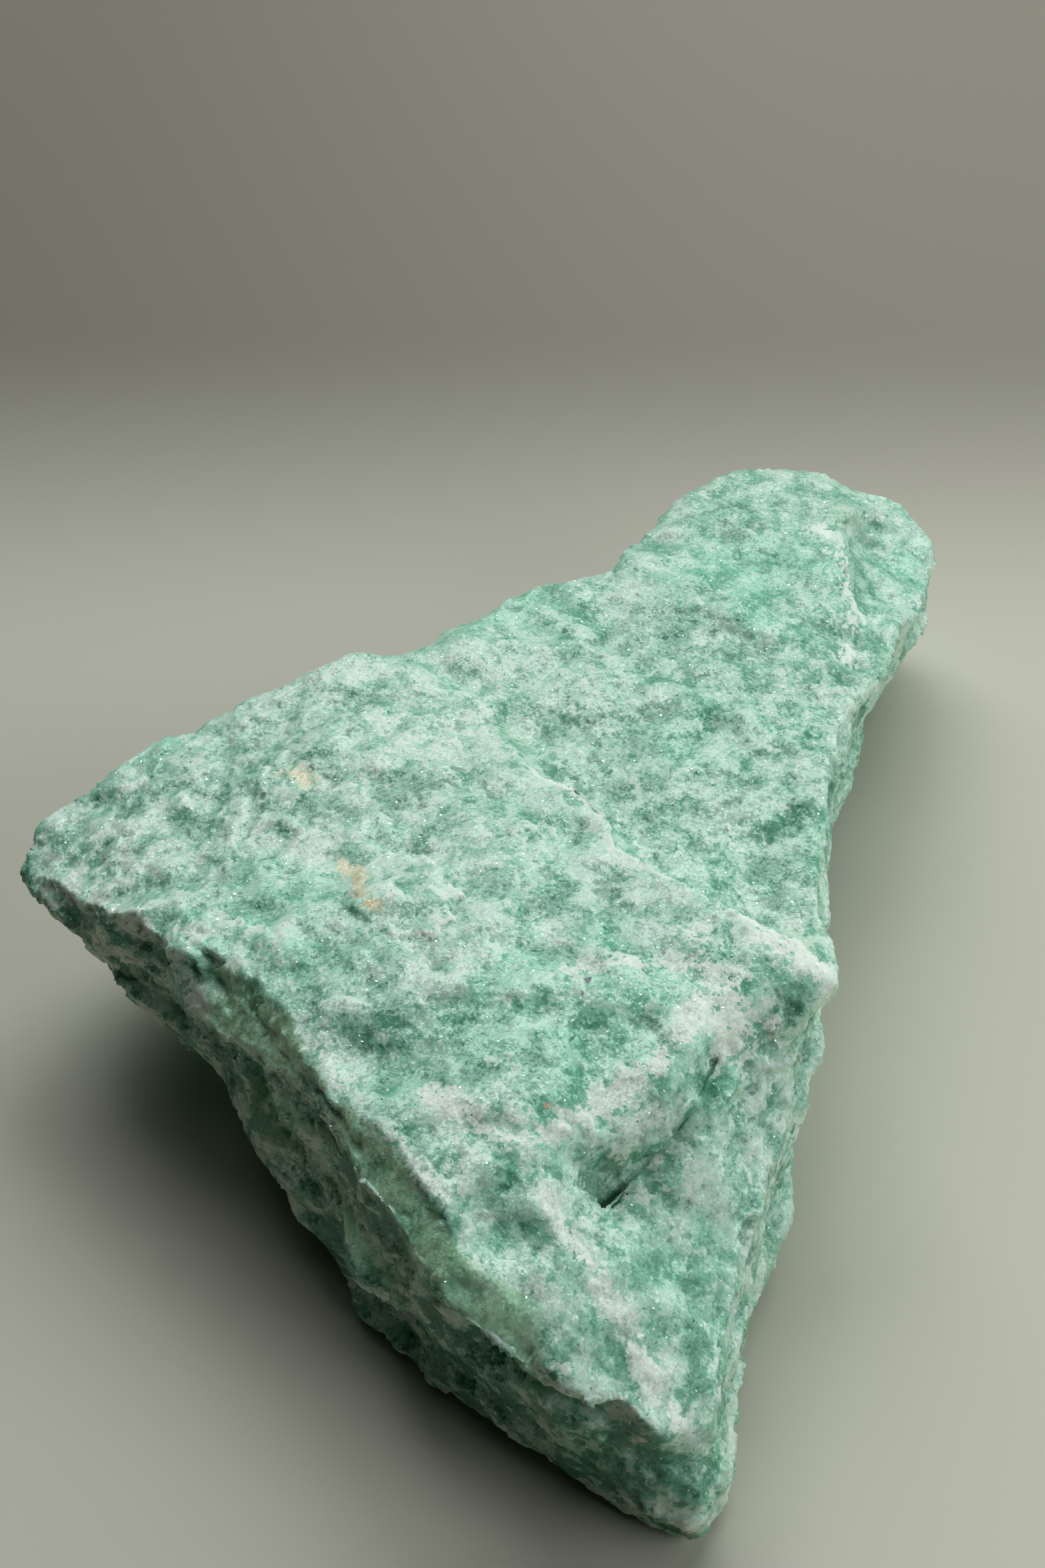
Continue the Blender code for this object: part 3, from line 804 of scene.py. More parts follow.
# %% Flakes and chips everywhere
# Each cell is a small broken plane with its own tilt.
bent = vector_calc(tree, "MULTIPLY", place, CHIP_STRETCH)
bent, _ = shaken(tree, place, CHIP_SHAKES, CHIP_SHAKE, bent)
tilts = []
for kind, flat_share in (("Flake", 0.32), ("Chip", 0.30)):
    scale = calc(tree, "DIVIDE", 1.0, given[kind + " run"])
    _, tilted = broken_cells(tree, bent, scale)
    calmer = ramp(tree, flat, 0.0, 1.0, 1.0, flat_share)
    tilts.append(times(tree, times(tree, tilted, given[kind + " slope"]), calmer))
chips = calc(tree, "ADD", tilts[0], tilts[1])

# %% Move the surface
# The seat stays as it is, and nothing sinks below it.
calm = ramp(tree, axes["Z"], SEAT_LEVEL, given["Seat band"])
facing = calc(tree, "SIGN", add(tree, "ShaderNodeSeparateXYZ", {0: out}).outputs["Z"])
outward = times(tree, calc(tree, "ADD", chips, ledges), calm)
upward = times(tree, times(tree, sheets, calm), facing)
offset = vector_calc(tree, "SCALE", out, scale=outward)
offset = vector_calc(tree, "ADD", offset, vector_calc(tree, "SCALE", tuple(LAYER_UP), scale=upward))
broken_place = vector_calc(tree, "ADD", place, offset)
broken_place = vector_calc(tree, "MAXIMUM", broken_place, (-FAR_OFF, -FAR_OFF, 0.0))
moving = {"Geometry": given["Geometry"], "Position": broken_place}
broken = add(tree, "GeometryNodeSetPosition", moving)
feed(tree, result[0], broken.outputs[0])
print("tree that breaks the surface:", len(tree.nodes), "nodes")

# %% Break the skin
def through_tree(mesh, tree, sizes, name):
    """The plain mesh that a geometry tree makes of this one."""
    holder = bpy.data.objects.new(name, mesh)
    bpy.context.scene.collection.objects.link(holder)
    modifier = holder.modifiers.new("tree", "NODES")
    modifier.node_group = tree
    for item in tree.interface.items_tree:
        if item.item_type == "SOCKET" and item.in_out == "INPUT" and item.name in sizes:
            modifier[item.identifier] = sizes[item.name]
    seen = holder.evaluated_get(bpy.context.evaluated_depsgraph_get())
    made = bpy.data.meshes.new_from_object(seen)
    bpy.data.objects.remove(holder)
    return made


def triangles_of(mesh):
    """How many triangles a mesh's faces make."""
    return sum(len(face.vertices) - 2 for face in mesh.polygons)


STONE_TRIANGLES = 192000
skin = through_tree(skin, tree, BREAKAGE, "skin")
skin_triangles = triangles_of(skin)
if skin_triangles > STONE_TRIANGLES:
    ratio = STONE_TRIANGLES / skin_triangles
    skin = with_modifier(skin, "DECIMATE", ratio=ratio, use_collapse_triangulate=True)
print("broken skin:", skin_triangles, "triangles, thinned to", len(skin.polygons))

# %% [markdown]
# ## Measuring ridges and hollows
#
# On the real rock the raised points are bruised white, and the hollows keep their deep green.
# The material also darkens the hollows a little as painted shade. To know which is which, we
# smooth a copy of the surface and measure how far each point stands above it. We do that at two
# scales and keep both as attributes, which the material reads.

# %% Ridges and hollows
NORMAL_PASSES = 10
NORMAL_SHARE = 0.5
RELIEF_PASSES = {"fine_relief": 4, "broad_relief": 40}


def keep(mesh, label, values):
    """Keeps a value for each point as an attribute, which a material can read."""
    attribute = mesh.attributes.new(label, "FLOAT", "POINT")
    attribute.data.foreach_set("value", values.astype(np.float32))


pairs = pairs_of(skin)
places = points_of(skin)
broad_normals = normals_of(skin)
for _ in range(NORMAL_PASSES):
    broad_normals = eased(broad_normals, pairs, NORMAL_SHARE)
broad_normals /= np.linalg.norm(broad_normals, axis=1)[:, None]
for label, passes in RELIEF_PASSES.items():
    smooth = places.copy()
    for _ in range(passes):
        smooth = eased(smooth, pairs, SMOOTH_SHARE)
    above = ((places - smooth) * broad_normals).sum(axis=1) * MM_IN_M
    keep(skin, label, above)
    print(label, "in mm:", np.percentile(above, [2, 50, 98]).round(3))

# %% [markdown]
# ## Marks that have their own place
#
# Some marks on this block are not spread evenly: the white bruises along its edges, the deep
# groove, and two rusty stains. Some of them are painted light and shade: the scoop's wall is painted
# pale as if lit, and the groove, its pit, the notch, the hole, the slit and the low part of the near
# side are painted deeper green as shade. Each is a short line on the surface with a reach. We
# measure every point's distance from the lines and keep it as an attribute. The slanted break
# under the near edge is a mark of its own: hardly any frost lies there, so light passes into the
# thin edge, and its bright clear green is painted light for the glow that comes through it.

# %% White bruises, and painted light on the scoop's wall
# Each mark has a reach, a strength and a line.
BRUISES_AND_PAINTED_LIGHT = (
    # the edge of the near side, from the left tip to the front
    (0.0034, 0.60, ((-0.107, -0.013, 0.048), (-0.099, -0.020, 0.050),
                    (-0.083, -0.035, 0.054), (-0.066, -0.043, 0.058))),
    (0.0030, 0.75, raised_line(BEVEL_TOP[1:10], (0.0012, 0.0008), 0.0570)),
    (0.0034, 0.60, ((-0.009, -0.123, 0.052), (-0.006, -0.130, 0.049),
                    (0.004, -0.137, 0.043), (0.019, -0.143, 0.032))),
    (0.0045, 0.55, ((-0.064, -0.037, 0.058), (-0.055, -0.044, 0.060), (-0.047, -0.052, 0.061))),
    # the left tip
    (0.0090, 0.50, ((-0.104, -0.014, 0.048), (-0.092, -0.024, 0.052))),
    (0.0050, 0.50, ((-0.079, 0.006, 0.056), (-0.076, 0.002, 0.057))),
    # the long white arc from the near edge, along the rim over the scoop, to the high corner
    (0.0060, 0.95, ((-0.018, -0.088, 0.059), (-0.011, -0.095, 0.059), (-0.004, -0.097, 0.058),
                    (0.004, -0.096, 0.057), (0.012, -0.091, 0.057), (0.020, -0.084, 0.057),
                    (0.026, -0.079, 0.058), (0.032, -0.071, 0.059), (0.036, -0.064, 0.060))),
    (0.0085, 1.00, ((0.050, -0.047, 0.060), (0.060, -0.051, 0.057))),
    (0.0060, 0.85, ((0.035, -0.047, 0.062), (0.036, -0.058, 0.061), (0.032, -0.074, 0.059))),
    (0.0045, 0.85, ((0.008, -0.057, 0.062), (0.018, -0.056, 0.063), (0.027, -0.054, 0.061),
                    (0.037, -0.056, 0.061), (0.045, -0.057, 0.060))),
    # the wall of the scoop, in shade here and painted pale as painted light; the lip of its groove,
    # and the ridge of the front lobe
    (0.0100, 1.00, ((0.047, -0.065, 0.055), (0.043, -0.062, 0.058), (0.040, -0.070, 0.055))),
    (0.0016, 0.90, raised_line(LIP[:4], (0.0006, -0.0006), 0.046)),
    (0.0045, 0.85, ((0.004, -0.109, 0.053), (0.008, -0.115, 0.049), (0.014, -0.122, 0.044),
                    (0.020, -0.131, 0.040), (0.024, -0.139, 0.035), (0.028, -0.144, 0.030))),
    # the rim of the step across the top
    (0.0020, 1.00, raised_line(STEP_EDGE[1:], (-0.0007, -0.0007), 0.0610)),
    # pale places on the near top, behind the step, and the pale ridge of the tail
    (0.0060, 0.40, ((-0.034, 0.007, 0.062), (-0.029, 0.016, 0.061), (-0.023, 0.022, 0.060))),
    (0.0045, 0.40, ((-0.005, -0.017, 0.062), (0.002, -0.014, 0.062))),
    (0.0050, 0.60, ((0.016, -0.013, 0.062), (0.021, 0.000, 0.053))),
    (0.0050, 0.45, ((0.050, 0.065, 0.055), (0.060, 0.063, 0.053))),
    (0.0060, 0.85, ((0.078, 0.118, 0.053), (0.084, 0.099, 0.053),
                    (0.085, 0.086, 0.050), (0.080, 0.064, 0.050))),
    (0.0260, 0.10, ((-0.095, -0.014, 0.053), (-0.069, -0.020, 0.057),
                    (-0.038, 0.016, 0.060), (-0.010, 0.025, 0.058))),
    # the wall above the groove in the scoop, pale, and painted paler still as painted light; and
    # the long flake on the near side
    (0.0060, 0.70, ((0.017, -0.095, 0.050), (0.023, -0.088, 0.052),
                    (0.029, -0.080, 0.053), (0.033, -0.074, 0.055))),
    (0.0028, 0.90, ((-0.0443, -0.0798, 0.0336), (-0.0393, -0.0872, 0.0324),
                    (-0.0321, -0.0995, 0.0327))),
)
print("bruises:", len(BRUISES_AND_PAINTED_LIGHT))

# %% Greener places, and painted shade low on the near side
GREENER_AND_SHADED_PLACES = (
    # painted shade deepens the low part of the near side, which lies in shade by the floor; and the
    # top on both sides of the step
    (0.0180, 0.80, ((-0.035, -0.099, 0.020), (-0.011, -0.120, 0.016),
                    (0.001, -0.132, 0.012), (0.014, -0.141, 0.008))),
    (0.0260, 0.45, ((-0.024, 0.006, 0.061), (-0.008, 0.000, 0.061))),
    (0.0500, 0.55, ((0.045, 0.020, 0.055), (0.065, 0.110, 0.054))),
    # deep green places on the near top
    (0.0080, 0.70, ((-0.042, -0.054, 0.061), (-0.030, -0.062, 0.062), (-0.025, -0.071, 0.061))),
    (0.0085, 0.60, ((-0.013, -0.073, 0.061), (-0.004, -0.079, 0.061), (0.007, -0.082, 0.060))),
    (0.0100, 0.50, ((-0.004, -0.034, 0.063), (0.010, -0.039, 0.062), (0.024, -0.046, 0.061))),
    (0.0090, 0.50, ((-0.054, 0.012, 0.060), (-0.061, 0.003, 0.059))),
    # on the front lobe, behind the step, and on the tail
    (0.0055, 1.00, ((-0.005, -0.109, 0.055), (-0.001, -0.114, 0.052))),
    (0.0100, 0.80, ((0.055, 0.000, 0.052), (0.061, -0.009, 0.050), (0.054, -0.013, 0.049))),
    (0.0090, 0.80, ((0.014, 0.073, 0.057), (0.009, 0.081, 0.058))),
    (0.0300, 0.50, ((0.059, 0.124, 0.054), (0.077, 0.104, 0.054))),
    # the floor of the scoop, and the facet at the front tip
    (0.0120, 0.45, ((0.0245, -0.1064, 0.0418), (0.0268, -0.1112, 0.0398),
                    (0.0262, -0.1251, 0.0380))),
    (0.0050, 0.80, ((0.031, -0.123, 0.035), (0.033, -0.135, 0.031))),
    (0.0080, 0.80, ((0.0261, -0.1466, 0.0231), (0.0306, -0.1476, 0.0218),
                    (0.0367, -0.1427, 0.0173))),
)
CLEAR_FLANK = ((0.0554, -0.0562, 0.0578), (0.0532, -0.0633, 0.0516))
EMERALD_PLACES = (
    (0.0120, 1.00, ((-0.052, -0.027, 0.059), (-0.040, -0.036, 0.061))),
    (0.0060, 1.00, ((-0.060, -0.051, 0.058), (-0.067, -0.048, 0.057))),
    (0.0060, 0.80, CLEAR_FLANK),
)
print("greener places:", len(GREENER_AND_SHADED_PLACES), "and emerald ones:", len(EMERALD_PLACES))

# %% Deep places, with painted shade in crevices, and rust
DEEP_AND_SHADED_PLACES = (
    # painted shade in the groove and its pit, the notch, and the hole and the slit in the near side
    (0.0034, 1.00, ((0.0144, -0.1020, 0.044), (0.0164, -0.1005, 0.043))),
    (0.0014, 0.45, ((0.0166, -0.1007, 0.0430), (0.0209, -0.0961, 0.0438),
                    (0.0265, -0.0897, 0.0452), (0.0308, -0.0840, 0.0465))),
    (0.0016, 0.70, NOTCH),
    (0.0034, 1.00, HOLE),
    (0.0016, 0.80, SLIT),
    # the clear green flank below the high corner, and a deep spot on the tail
    (0.0042, 0.70, CLEAR_FLANK),
    (0.0040, 0.50, ((0.012, 0.069, 0.058), (0.016, 0.072, 0.058))),
)
RUST = (
    (0.0036, 1.00, ((-0.039, -0.022, 0.059), (-0.035, -0.027, 0.060),
                    (-0.034, -0.036, 0.062), (-0.031, -0.040, 0.063))),
    (0.0050, 0.60, ((-0.054, 0.007, 0.060), (-0.049, 0.005, 0.060))),
)
print("deep places:", len(DEEP_AND_SHADED_PLACES), "and rusty ones:", len(RUST))

# %% Lay the marks on the skin
PLACES = {
    "bruised": BRUISES_AND_PAINTED_LIGHT,
    "greener_and_shaded": GREENER_AND_SHADED_PLACES,
    "emerald": EMERALD_PLACES,
    "deepened_and_shaded": DEEP_AND_SHADED_PLACES,
    "rusty": RUST,
}
FLAKE_BRUISE = 0.9
FLAKE_RIM = 0.0012
FLAKE_PALENESS = (0.26, 1.0)
FLAKE_FALL = 1.4
CLEAR_STARTS = 0.0010
CLEAR_ENDS = 0.0130
CLEAR_FADE = 0.0020
CLEAR_FACING = 0.30
CLEAR_TURN = 0.15


def near_lines(places, lines):
    """How strongly each point belongs to a mark: 1 on its line, 0 beyond its reach."""
    strongest = np.zeros(len(places))
    for reach, strength, line in lines:
        strongest = np.maximum(strongest, strength * on_line(places, line, reach))
    return strongest


marks = {label: near_lines(places, lines) for label, lines in PLACES.items()}

# The flake is bruised too, most of all along its rim.
flaked = on_flake(places)
paleness = np.clip(FLAKE_FALL - flaked / FLAKE_RIM, *FLAKE_PALENESS)
paleness = FLAKE_BRUISE * (flaked > 0.0) * paleness
marks["bruised"] = np.maximum(marks["bruised"], paleness)

# The clear band lies on the bevel, from its upper line to where the side turns steep. Its bright
# green is painted light, for the daylight that shines through the thin edge.
outward = -beside_line(places[:, :2], BEVEL_TOP)
band = fade(outward, CLEAR_STARTS) * fade(CLEAR_ENDS - outward, CLEAR_FADE)
band *= fade(broad_normals[:, 2] - CLEAR_FACING, CLEAR_TURN) * (places[:, 2] > UPPER_HALF)
marks["clear"] = band * along_bevel(places)

for label, values in marks.items():
    keep(skin, label, values)
    print(label, "covers", round(100 * float((values > 0.1).mean()), 1), "% of the points")

# %% [markdown]
# ## The rock's colour and finish
#
# Three things make up the rock's own colour. The rock itself runs from deep to pale green in
# clouds drawn out along the layers. White frost lies on it where it is bruised, in ragged patches.
# Fine sugary grain covers both. Painted light and shade come on top: deeper green on faces turned
# away from the window, in hollows, in crevices and on the low part of the near side, and paler on
# the scoop's wall, which lies in shade. We build each as a mask from noise, and mix the colours by
# the masks. A ramp with close limits gives a mask the crisp border of a flake, and one with wide
# limits a soft one.

# %% Colours of the rock
GREENS = (
    (0.26, (0.062, 0.262, 0.158, 1.0)),
    (0.38, (0.165, 0.450, 0.312, 1.0)),
    (0.49, (0.350, 0.650, 0.497, 1.0)),
    (0.60, (0.530, 0.780, 0.645, 1.0)),
    (0.76, (0.700, 0.880, 0.785, 1.0)),
)
EMERALD = (0.820, 1.000, 0.930, 1.0)
SAGE = (1.010, 0.985, 0.960, 1.0)
FROST = (0.735, 0.895, 0.793, 1.0)
BRUISE_AND_LIGHT_WHITE = (0.834, 0.945, 0.832, 1.0)
STEEP = (1.015, 0.970, 0.940, 1.0)
# painted shade: faces turned this way, away from the window, get a darker, warmer tint
SHADY_SIDE = (-0.77, -0.62, -0.10)
SHADED = (0.985, 0.874, 0.842, 1.0)
# painted light: the bevel band's bright green stands in for light shining through the thin edge
BAND_GLOW = (0.385, 0.700, 0.450, 1.0)
RUSTY = (0.800, 0.790, 0.530, 1.0)
RUST_SPOT = (0.640, 0.500, 0.220, 1.0)
SPECKS = (
    # each has a radius, a place and a colour
    (0.0008, (0.0126, -0.0604, 0.0623), (0.060, 0.045, 0.110, 1.0)),
    (0.0005, (0.0115, -0.0641, 0.0624), (0.100, 0.090, 0.150, 1.0)),
    (0.0005, (0.0284, -0.0522, 0.0613), (0.110, 0.110, 0.150, 1.0)),
    (0.0006, (0.0043, -0.0910, 0.0589), (0.600, 0.440, 0.330, 1.0)),
    (0.0011, (-0.0325, -0.0400, 0.0620), RUST_SPOT),
)
DEEP_GREEN = (0.055, 0.250, 0.145, 1.0)
print("greens:", len(GREENS), "from", GREENS[0][1][:3], "to", GREENS[-1][1][:3])

# %% Helpers for the rock's masks
def kept(tree, label):
    """A value that the skin keeps for each point."""
    return add(tree, "ShaderNodeAttribute", attribute_name=label).outputs["Fac"]


def weighted(tree, *terms):
    """The sum of some values, each times its weight."""
    total = 0.0
    for value, weight in terms:
        total = calc(tree, "MULTIPLY_ADD", value, weight, total)
    return total


def colour_scale(tree, value, stops):
    """A colour for each value, from a short scale of colours."""
    node = add(tree, "ShaderNodeValToRGB", {0: value})
    scale = node.color_ramp.elements
    while len(scale) < len(stops):
        scale.new(0.5)
    for element, (position, colour) in zip(scale, stops):
        element.position = position
        element.color = colour
    return node.outputs[0]


# %% Grains and sheets
GRAIN_STRETCH = (0.98, 0.80, 1.3)
SHAKES = 620.0
SHAKE = 0.0014
SUGAR_RUN = 0.0005
GRAIN_RUN = 0.0010
SALT = (0.30, 0.46)
PEPPER = (-0.34, -0.48)
UPWARD = (0.15, 0.75)
STEEPER = (0.45, 0.05)
SHADIER = (0.30, 0.80)
RELIEF = (-0.15, 0.25)
SHEET_RIM = (0.004, 0.026, 1.0, 0.0)
BOTH_WAYS = (-0.5, 0.5)

rock = bpy.data.materials.new("green_aventurine")
rock.use_nodes = True
tree = rock.node_tree
shader = tree.nodes["Principled BSDF"]
place = add(tree, "ShaderNodeTexCoord").outputs["Object"]
along = add(tree, "ShaderNodeMapping", {"Vector": place, "Scale": GRAIN_STRETCH}).outputs[0]

# Grains with ragged borders, in four sizes from sugar to flakes.
ragged, shake = shaken(tree, place, SHAKES, SHAKE, along)
more_ragged = vector_calc(tree, "ADD", ragged, shake)
sugar, sugar_tilt = broken_cells(tree, place, 1.0 / SUGAR_RUN)
grain, grain_tilt = broken_cells(tree, ragged, 1.0 / GRAIN_RUN)
clump, clump_tilt = broken_cells(tree, ragged, 1.0 / BREAKAGE["Chip run"])
flake, flake_tilt = broken_cells(tree, more_ragged, 1.0 / BREAKAGE["Flake run"])
salt = ramp(tree, sugar, *SALT)
pepper = ramp(tree, sugar, *PEPPER)

# Which way the surface faces, and whether it stands out. Both feed painted shade: faces turned
# away from the window and the hollows are made deeper green.
facing = add(tree, "ShaderNodeTexCoord").outputs["Normal"]
up = add(tree, "ShaderNodeSeparateXYZ", {0: facing}).outputs["Z"]
upward = ramp(tree, up, *UPWARD)
steep = ramp(tree, up, *STEEPER)
shady = ramp(tree, vector_calc(tree, "DOT_PRODUCT", facing, SHADY_SIDE), *SHADIER)
relief = weighted(tree, (kept(tree, "fine_relief"), 1.0), (kept(tree, "broad_relief"), 0.35))
raised = ramp(tree, relief, *RELIEF, *BOTH_WAYS)

# Torn sheets: paler where one is left, and white along its edge.
sheet_edges, sheet_levels = [], []
for step in (0, 1):
    tear = torn_sheets(tree, place, BREAKAGE["Sheet run"] * SHEET_SHARES[step], step)
    from_edge = calc(tree, "ABSOLUTE", calc(tree, "SUBTRACT", tear, 0.5))
    sheet_edges.append(ramp(tree, from_edge, *SHEET_RIM))
    sheet_levels.append(ramp(tree, tear, *SHEET_TEAR, *BOTH_WAYS))
sheet_edge = times(tree, calc(tree, "MAXIMUM", *sheet_edges), upward)
print("grains and sheets:", len(tree.nodes), "nodes")

# %% [markdown]
# ## The rock's own green, and painted shade
#
# The green is deepest where the quartz is clear and full of mica, and palest where it is crushed.
# One value, the share, adds up all that makes a spot paler or deeper: clouds, grains, flakes, how
# the surface lies and the greener marks. Part of it is painted shade: faces turned away from the
# window, the hollows and the low part of the near side are made deeper green. A scale of five
# greens then turns it into a colour.

# %% Mix the greens
TONE_RUN = 0.0072
CLOUD_RUN = 0.060
HUE_RUN = 0.034
CRISP = (0.365, 0.435)
PATCHY = (0.475, 0.515)
CALMER_BEHIND = (0.010, 0.120, 1.0, 0.70)
MEAN_TONE = 0.370
MEAN_GREEN = 0.526
MORE_EMERALD = (0.50, 0.62)
MORE_SAGE = (0.50, 0.38)

bruised = kept(tree, "bruised")
greener_and_shaded = kept(tree, "greener_and_shaded")
tone = clouds(tree, ragged, TONE_RUN, detail=5.0, rough=0.60, seed=2.0)
cloud = clouds(tree, along, CLOUD_RUN, detail=2.0, seed=1.0)
crisp = ramp(tree, weighted(tree, (tone, 0.80), (flake, 0.55), (clump, 0.40)), *CRISP, *BOTH_WAYS)
patchy = weighted(tree, (tone, 1.0), (flake, 0.10), (clump, 0.14), (grain, 0.06))
patchy = ramp(tree, patchy, *PATCHY, *BOTH_WAYS)
# Painted shade: the shady faces, and the hollows through raised, are made deeper green.
share = weighted(
    tree, (tone, 0.63), (sugar, 0.05), (grain, 0.10), (clump, 0.075), (flake, 0.05),
    (raised, 0.04), (cloud, 0.08), (salt, 0.05), (pepper, -0.06), (greener_and_shaded, -0.14), (shady, -0.05),
    (sheet_levels[0], 0.03), (sheet_levels[1], 0.03), (sheet_edge, 0.04), (patchy, 0.060),
    (times(tree, steep, flake), 0.05), (times(tree, steep, crisp), 0.04),
    (times(tree, shady, crisp), 0.11))
northing = add(tree, "ShaderNodeSeparateXYZ", {0: place}).outputs["Y"]
contrast = ramp(tree, northing, *CALMER_BEHIND)
share = calc(tree, "SUBTRACT", share, MEAN_TONE)
share = calc(tree, "MULTIPLY_ADD", share, contrast, MEAN_GREEN)
body = colour_scale(tree, share, GREENS)

# Some places lean to emerald, others to sage.
hue = clouds(tree, along, HUE_RUN, detail=3.0, seed=6.0)
emerald = weighted(tree, (hue, 1.0), (kept(tree, "emerald"), 0.20))
body = blend(tree, ramp(tree, emerald, *MORE_EMERALD), body, EMERALD, "MULTIPLY")
body = blend(tree, ramp(tree, hue, *MORE_SAGE), body, SAGE, "MULTIPLY")
print("with the greens:", len(tree.nodes), "nodes")

# %% [markdown]
# ## Frost, deep spots, stains, and the clear band's painted glow
#
# What lies over the green is laid on in the order in which it came: frost from the blows, spots
# where a grain fell out of it, then rust that soaked in. The deep spots also carry painted shade
# in the groove, its pit, the notch, the hole and the slit. The clear band comes last: a bright
# clear green, painted light for the daylight that comes through the thin edge. It covers frost
# and green alike, because no blow has crushed the rock there.

# %% Lay the rest over the green
FROST_RUN = 0.0062
FROST_EDGE = (0.622, 0.692)
FROST_DEPTH = (0.20, 0.80, 0.56, 0.84)
WHITER = (0.10, 0.70)
DEEP_RUN = 0.0075
DEEP_EDGE = (0.52, 0.61, 0.0, 0.70)
STAIN_EDGE = (0.50, 0.74, 0.0, 0.90)
STAIN_REACH = (0.05, 0.30)
SPECK_STRETCH = (1.0, 0.8, 0.25)
SPECK_EDGE = (1.15, 0.7)
SPECK_DEPTH = 0.9
BAND_DEPTH = (0.36, 0.50, 0.35, 0.85)

# White frost where the rock is bruised, and painted light: the scoop's wall, which lies in
# shade, is painted pale as if lit. Less frost lies on the shady faces, which is painted shade.
frost = clouds(tree, ragged, FROST_RUN, detail=5.0, rough=0.60, seed=3.0)
frosted = weighted(
    tree, (frost, 1.0), (sugar, 0.04), (grain, 0.09), (clump, 0.08), (flake, 0.05), (raised, 0.06),
    (bruised, 0.25), (upward, 0.018), (greener_and_shaded, -0.10), (shady, -0.10), (sheet_edge, 0.05))
frosted = times(tree, ramp(tree, frosted, *FROST_EDGE), ramp(tree, bruised, *FROST_DEPTH))
white = blend(tree, ramp(tree, bruised, *WHITER), FROST, BRUISE_AND_LIGHT_WHITE)
body = blend(tree, frosted, body, white)

# Small deep spots, where a grain has fallen out or clear green quartz shows, and painted shade in
# the groove, its pit, the notch, the hole and the slit.
deep = clouds(tree, ragged, DEEP_RUN, detail=6.0, rough=0.66, seed=4.0)
deep = weighted(
    tree, (deep, 1.0), (grain, 0.08), (raised, -0.08), (frosted, -0.06), (upward, -0.06),
    (kept(tree, "deepened_and_shaded"), 0.22))
body = blend(tree, ramp(tree, deep, *DEEP_EDGE), body, DEEP_GREEN)

# Rusty stains, soaked in between the grains, and a few specks.
rusty = kept(tree, "rusty")
stain = weighted(tree, (rusty, 0.70), (clump, 0.35), (grain, 0.30), (frost, 0.60))
stain = times(tree, ramp(tree, stain, *STAIN_EDGE), ramp(tree, rusty, *STAIN_REACH))
body = blend(tree, stain, body, RUSTY)
speck_place = vector_calc(tree, "ADD", place, shake)
for radius, middle, colour in SPECKS:
    off = vector_calc(tree, "SUBTRACT", speck_place, middle)
    off = vector_calc(tree, "LENGTH", vector_calc(tree, "MULTIPLY", off, SPECK_STRETCH))
    edge = (SPECK_EDGE[0] * radius, SPECK_EDGE[1] * radius)
    body = blend(tree, ramp(tree, off, *edge, 0.0, SPECK_DEPTH), body, colour)

# The clear band on the bevel, painted bright as painted light from the thin edge, and the tints of
# the steep faces and of the shaded faces, which is painted shade.
body = blend(tree, steep, body, STEEP, "MULTIPLY")
depth = weighted(tree, (tone, 1.0), (grain, 0.08), (clump, 0.12))
depth = times(tree, kept(tree, "clear"), ramp(tree, depth, *BAND_DEPTH))
body = blend(tree, depth, body, BAND_GLOW)
body = blend(tree, shady, body, SHADED, "MULTIPLY")
feed(tree, shader.inputs["Base Color"], body)
print("with all of the colour:", len(tree.nodes), "nodes")

# %% [markdown]
# ## Gloss and depth
#
# Clear quartz shines and frost is dull. Every grain is a small broken plane, so it catches the
# light in its own way, which a bump from the tilt of each grain gives. Light sinks a little into
# quartz before it comes back, and a weak subsurface value does that.

# %% Gloss and relief of the grains
GLOSS = (0.0, 0.8, 0.34, 0.52)

feed(tree, shader.inputs["Roughness"], ramp(tree, frosted, *GLOSS))
height = weighted(
    tree, (sugar_tilt, 0.34), (grain_tilt, 0.24), (clump_tilt, 0.12), (flake_tilt, 0.05))
bump = add(tree, "ShaderNodeBump", {"Strength": 1.0, "Distance": 1.0, "Height": height})
feed(tree, shader.inputs["Normal"], bump.outputs[0])
shader.inputs["Subsurface Weight"].default_value = 0.28
shader.inputs["Subsurface Radius"].default_value = (0.6, 1.0, 0.8)
shader.inputs["Subsurface Scale"].default_value = 0.002
shader.inputs["IOR"].default_value = 1.54
print("rock material:", len(tree.nodes), "nodes")

# %% [markdown]
# ## Plates of mica
#
# The sparkle of aventurine comes from thin plates of green mica, a fraction of a millimetre across.
# Most lie in the rock's surface, each turned its own way, and those that mirror the window flash.
# Geometry Nodes scatter points over the finished skin and lay one six-sided plate on each point.

# %% Mica material
MICA_DARK = (0.280, 0.640, 0.470, 1.0)
MICA_PALE = (0.560, 0.880, 0.720, 1.0)
MICA_CLOUD_RUN = 0.0021
MICA_CLOUD = (0.40, 0.60)

mica = bpy.data.materials.new("mica")
mica.use_nodes = True
tree = mica.node_tree
shader = tree.nodes["Principled BSDF"]
place = add(tree, "ShaderNodeTexCoord").outputs["Object"]
pale = ramp(tree, clouds(tree, place, MICA_CLOUD_RUN, detail=1.0, seed=8.0), *MICA_CLOUD)
feed(tree, shader.inputs["Base Color"], blend(tree, pale, MICA_DARK, MICA_PALE))
shader.inputs["Roughness"].default_value = 0.26
shader.inputs["Metallic"].default_value = 0.30
shader.inputs["IOR"].default_value = 1.60
shader.inputs["Coat Weight"].default_value = 0.5
shader.inputs["Coat Roughness"].default_value = 0.10

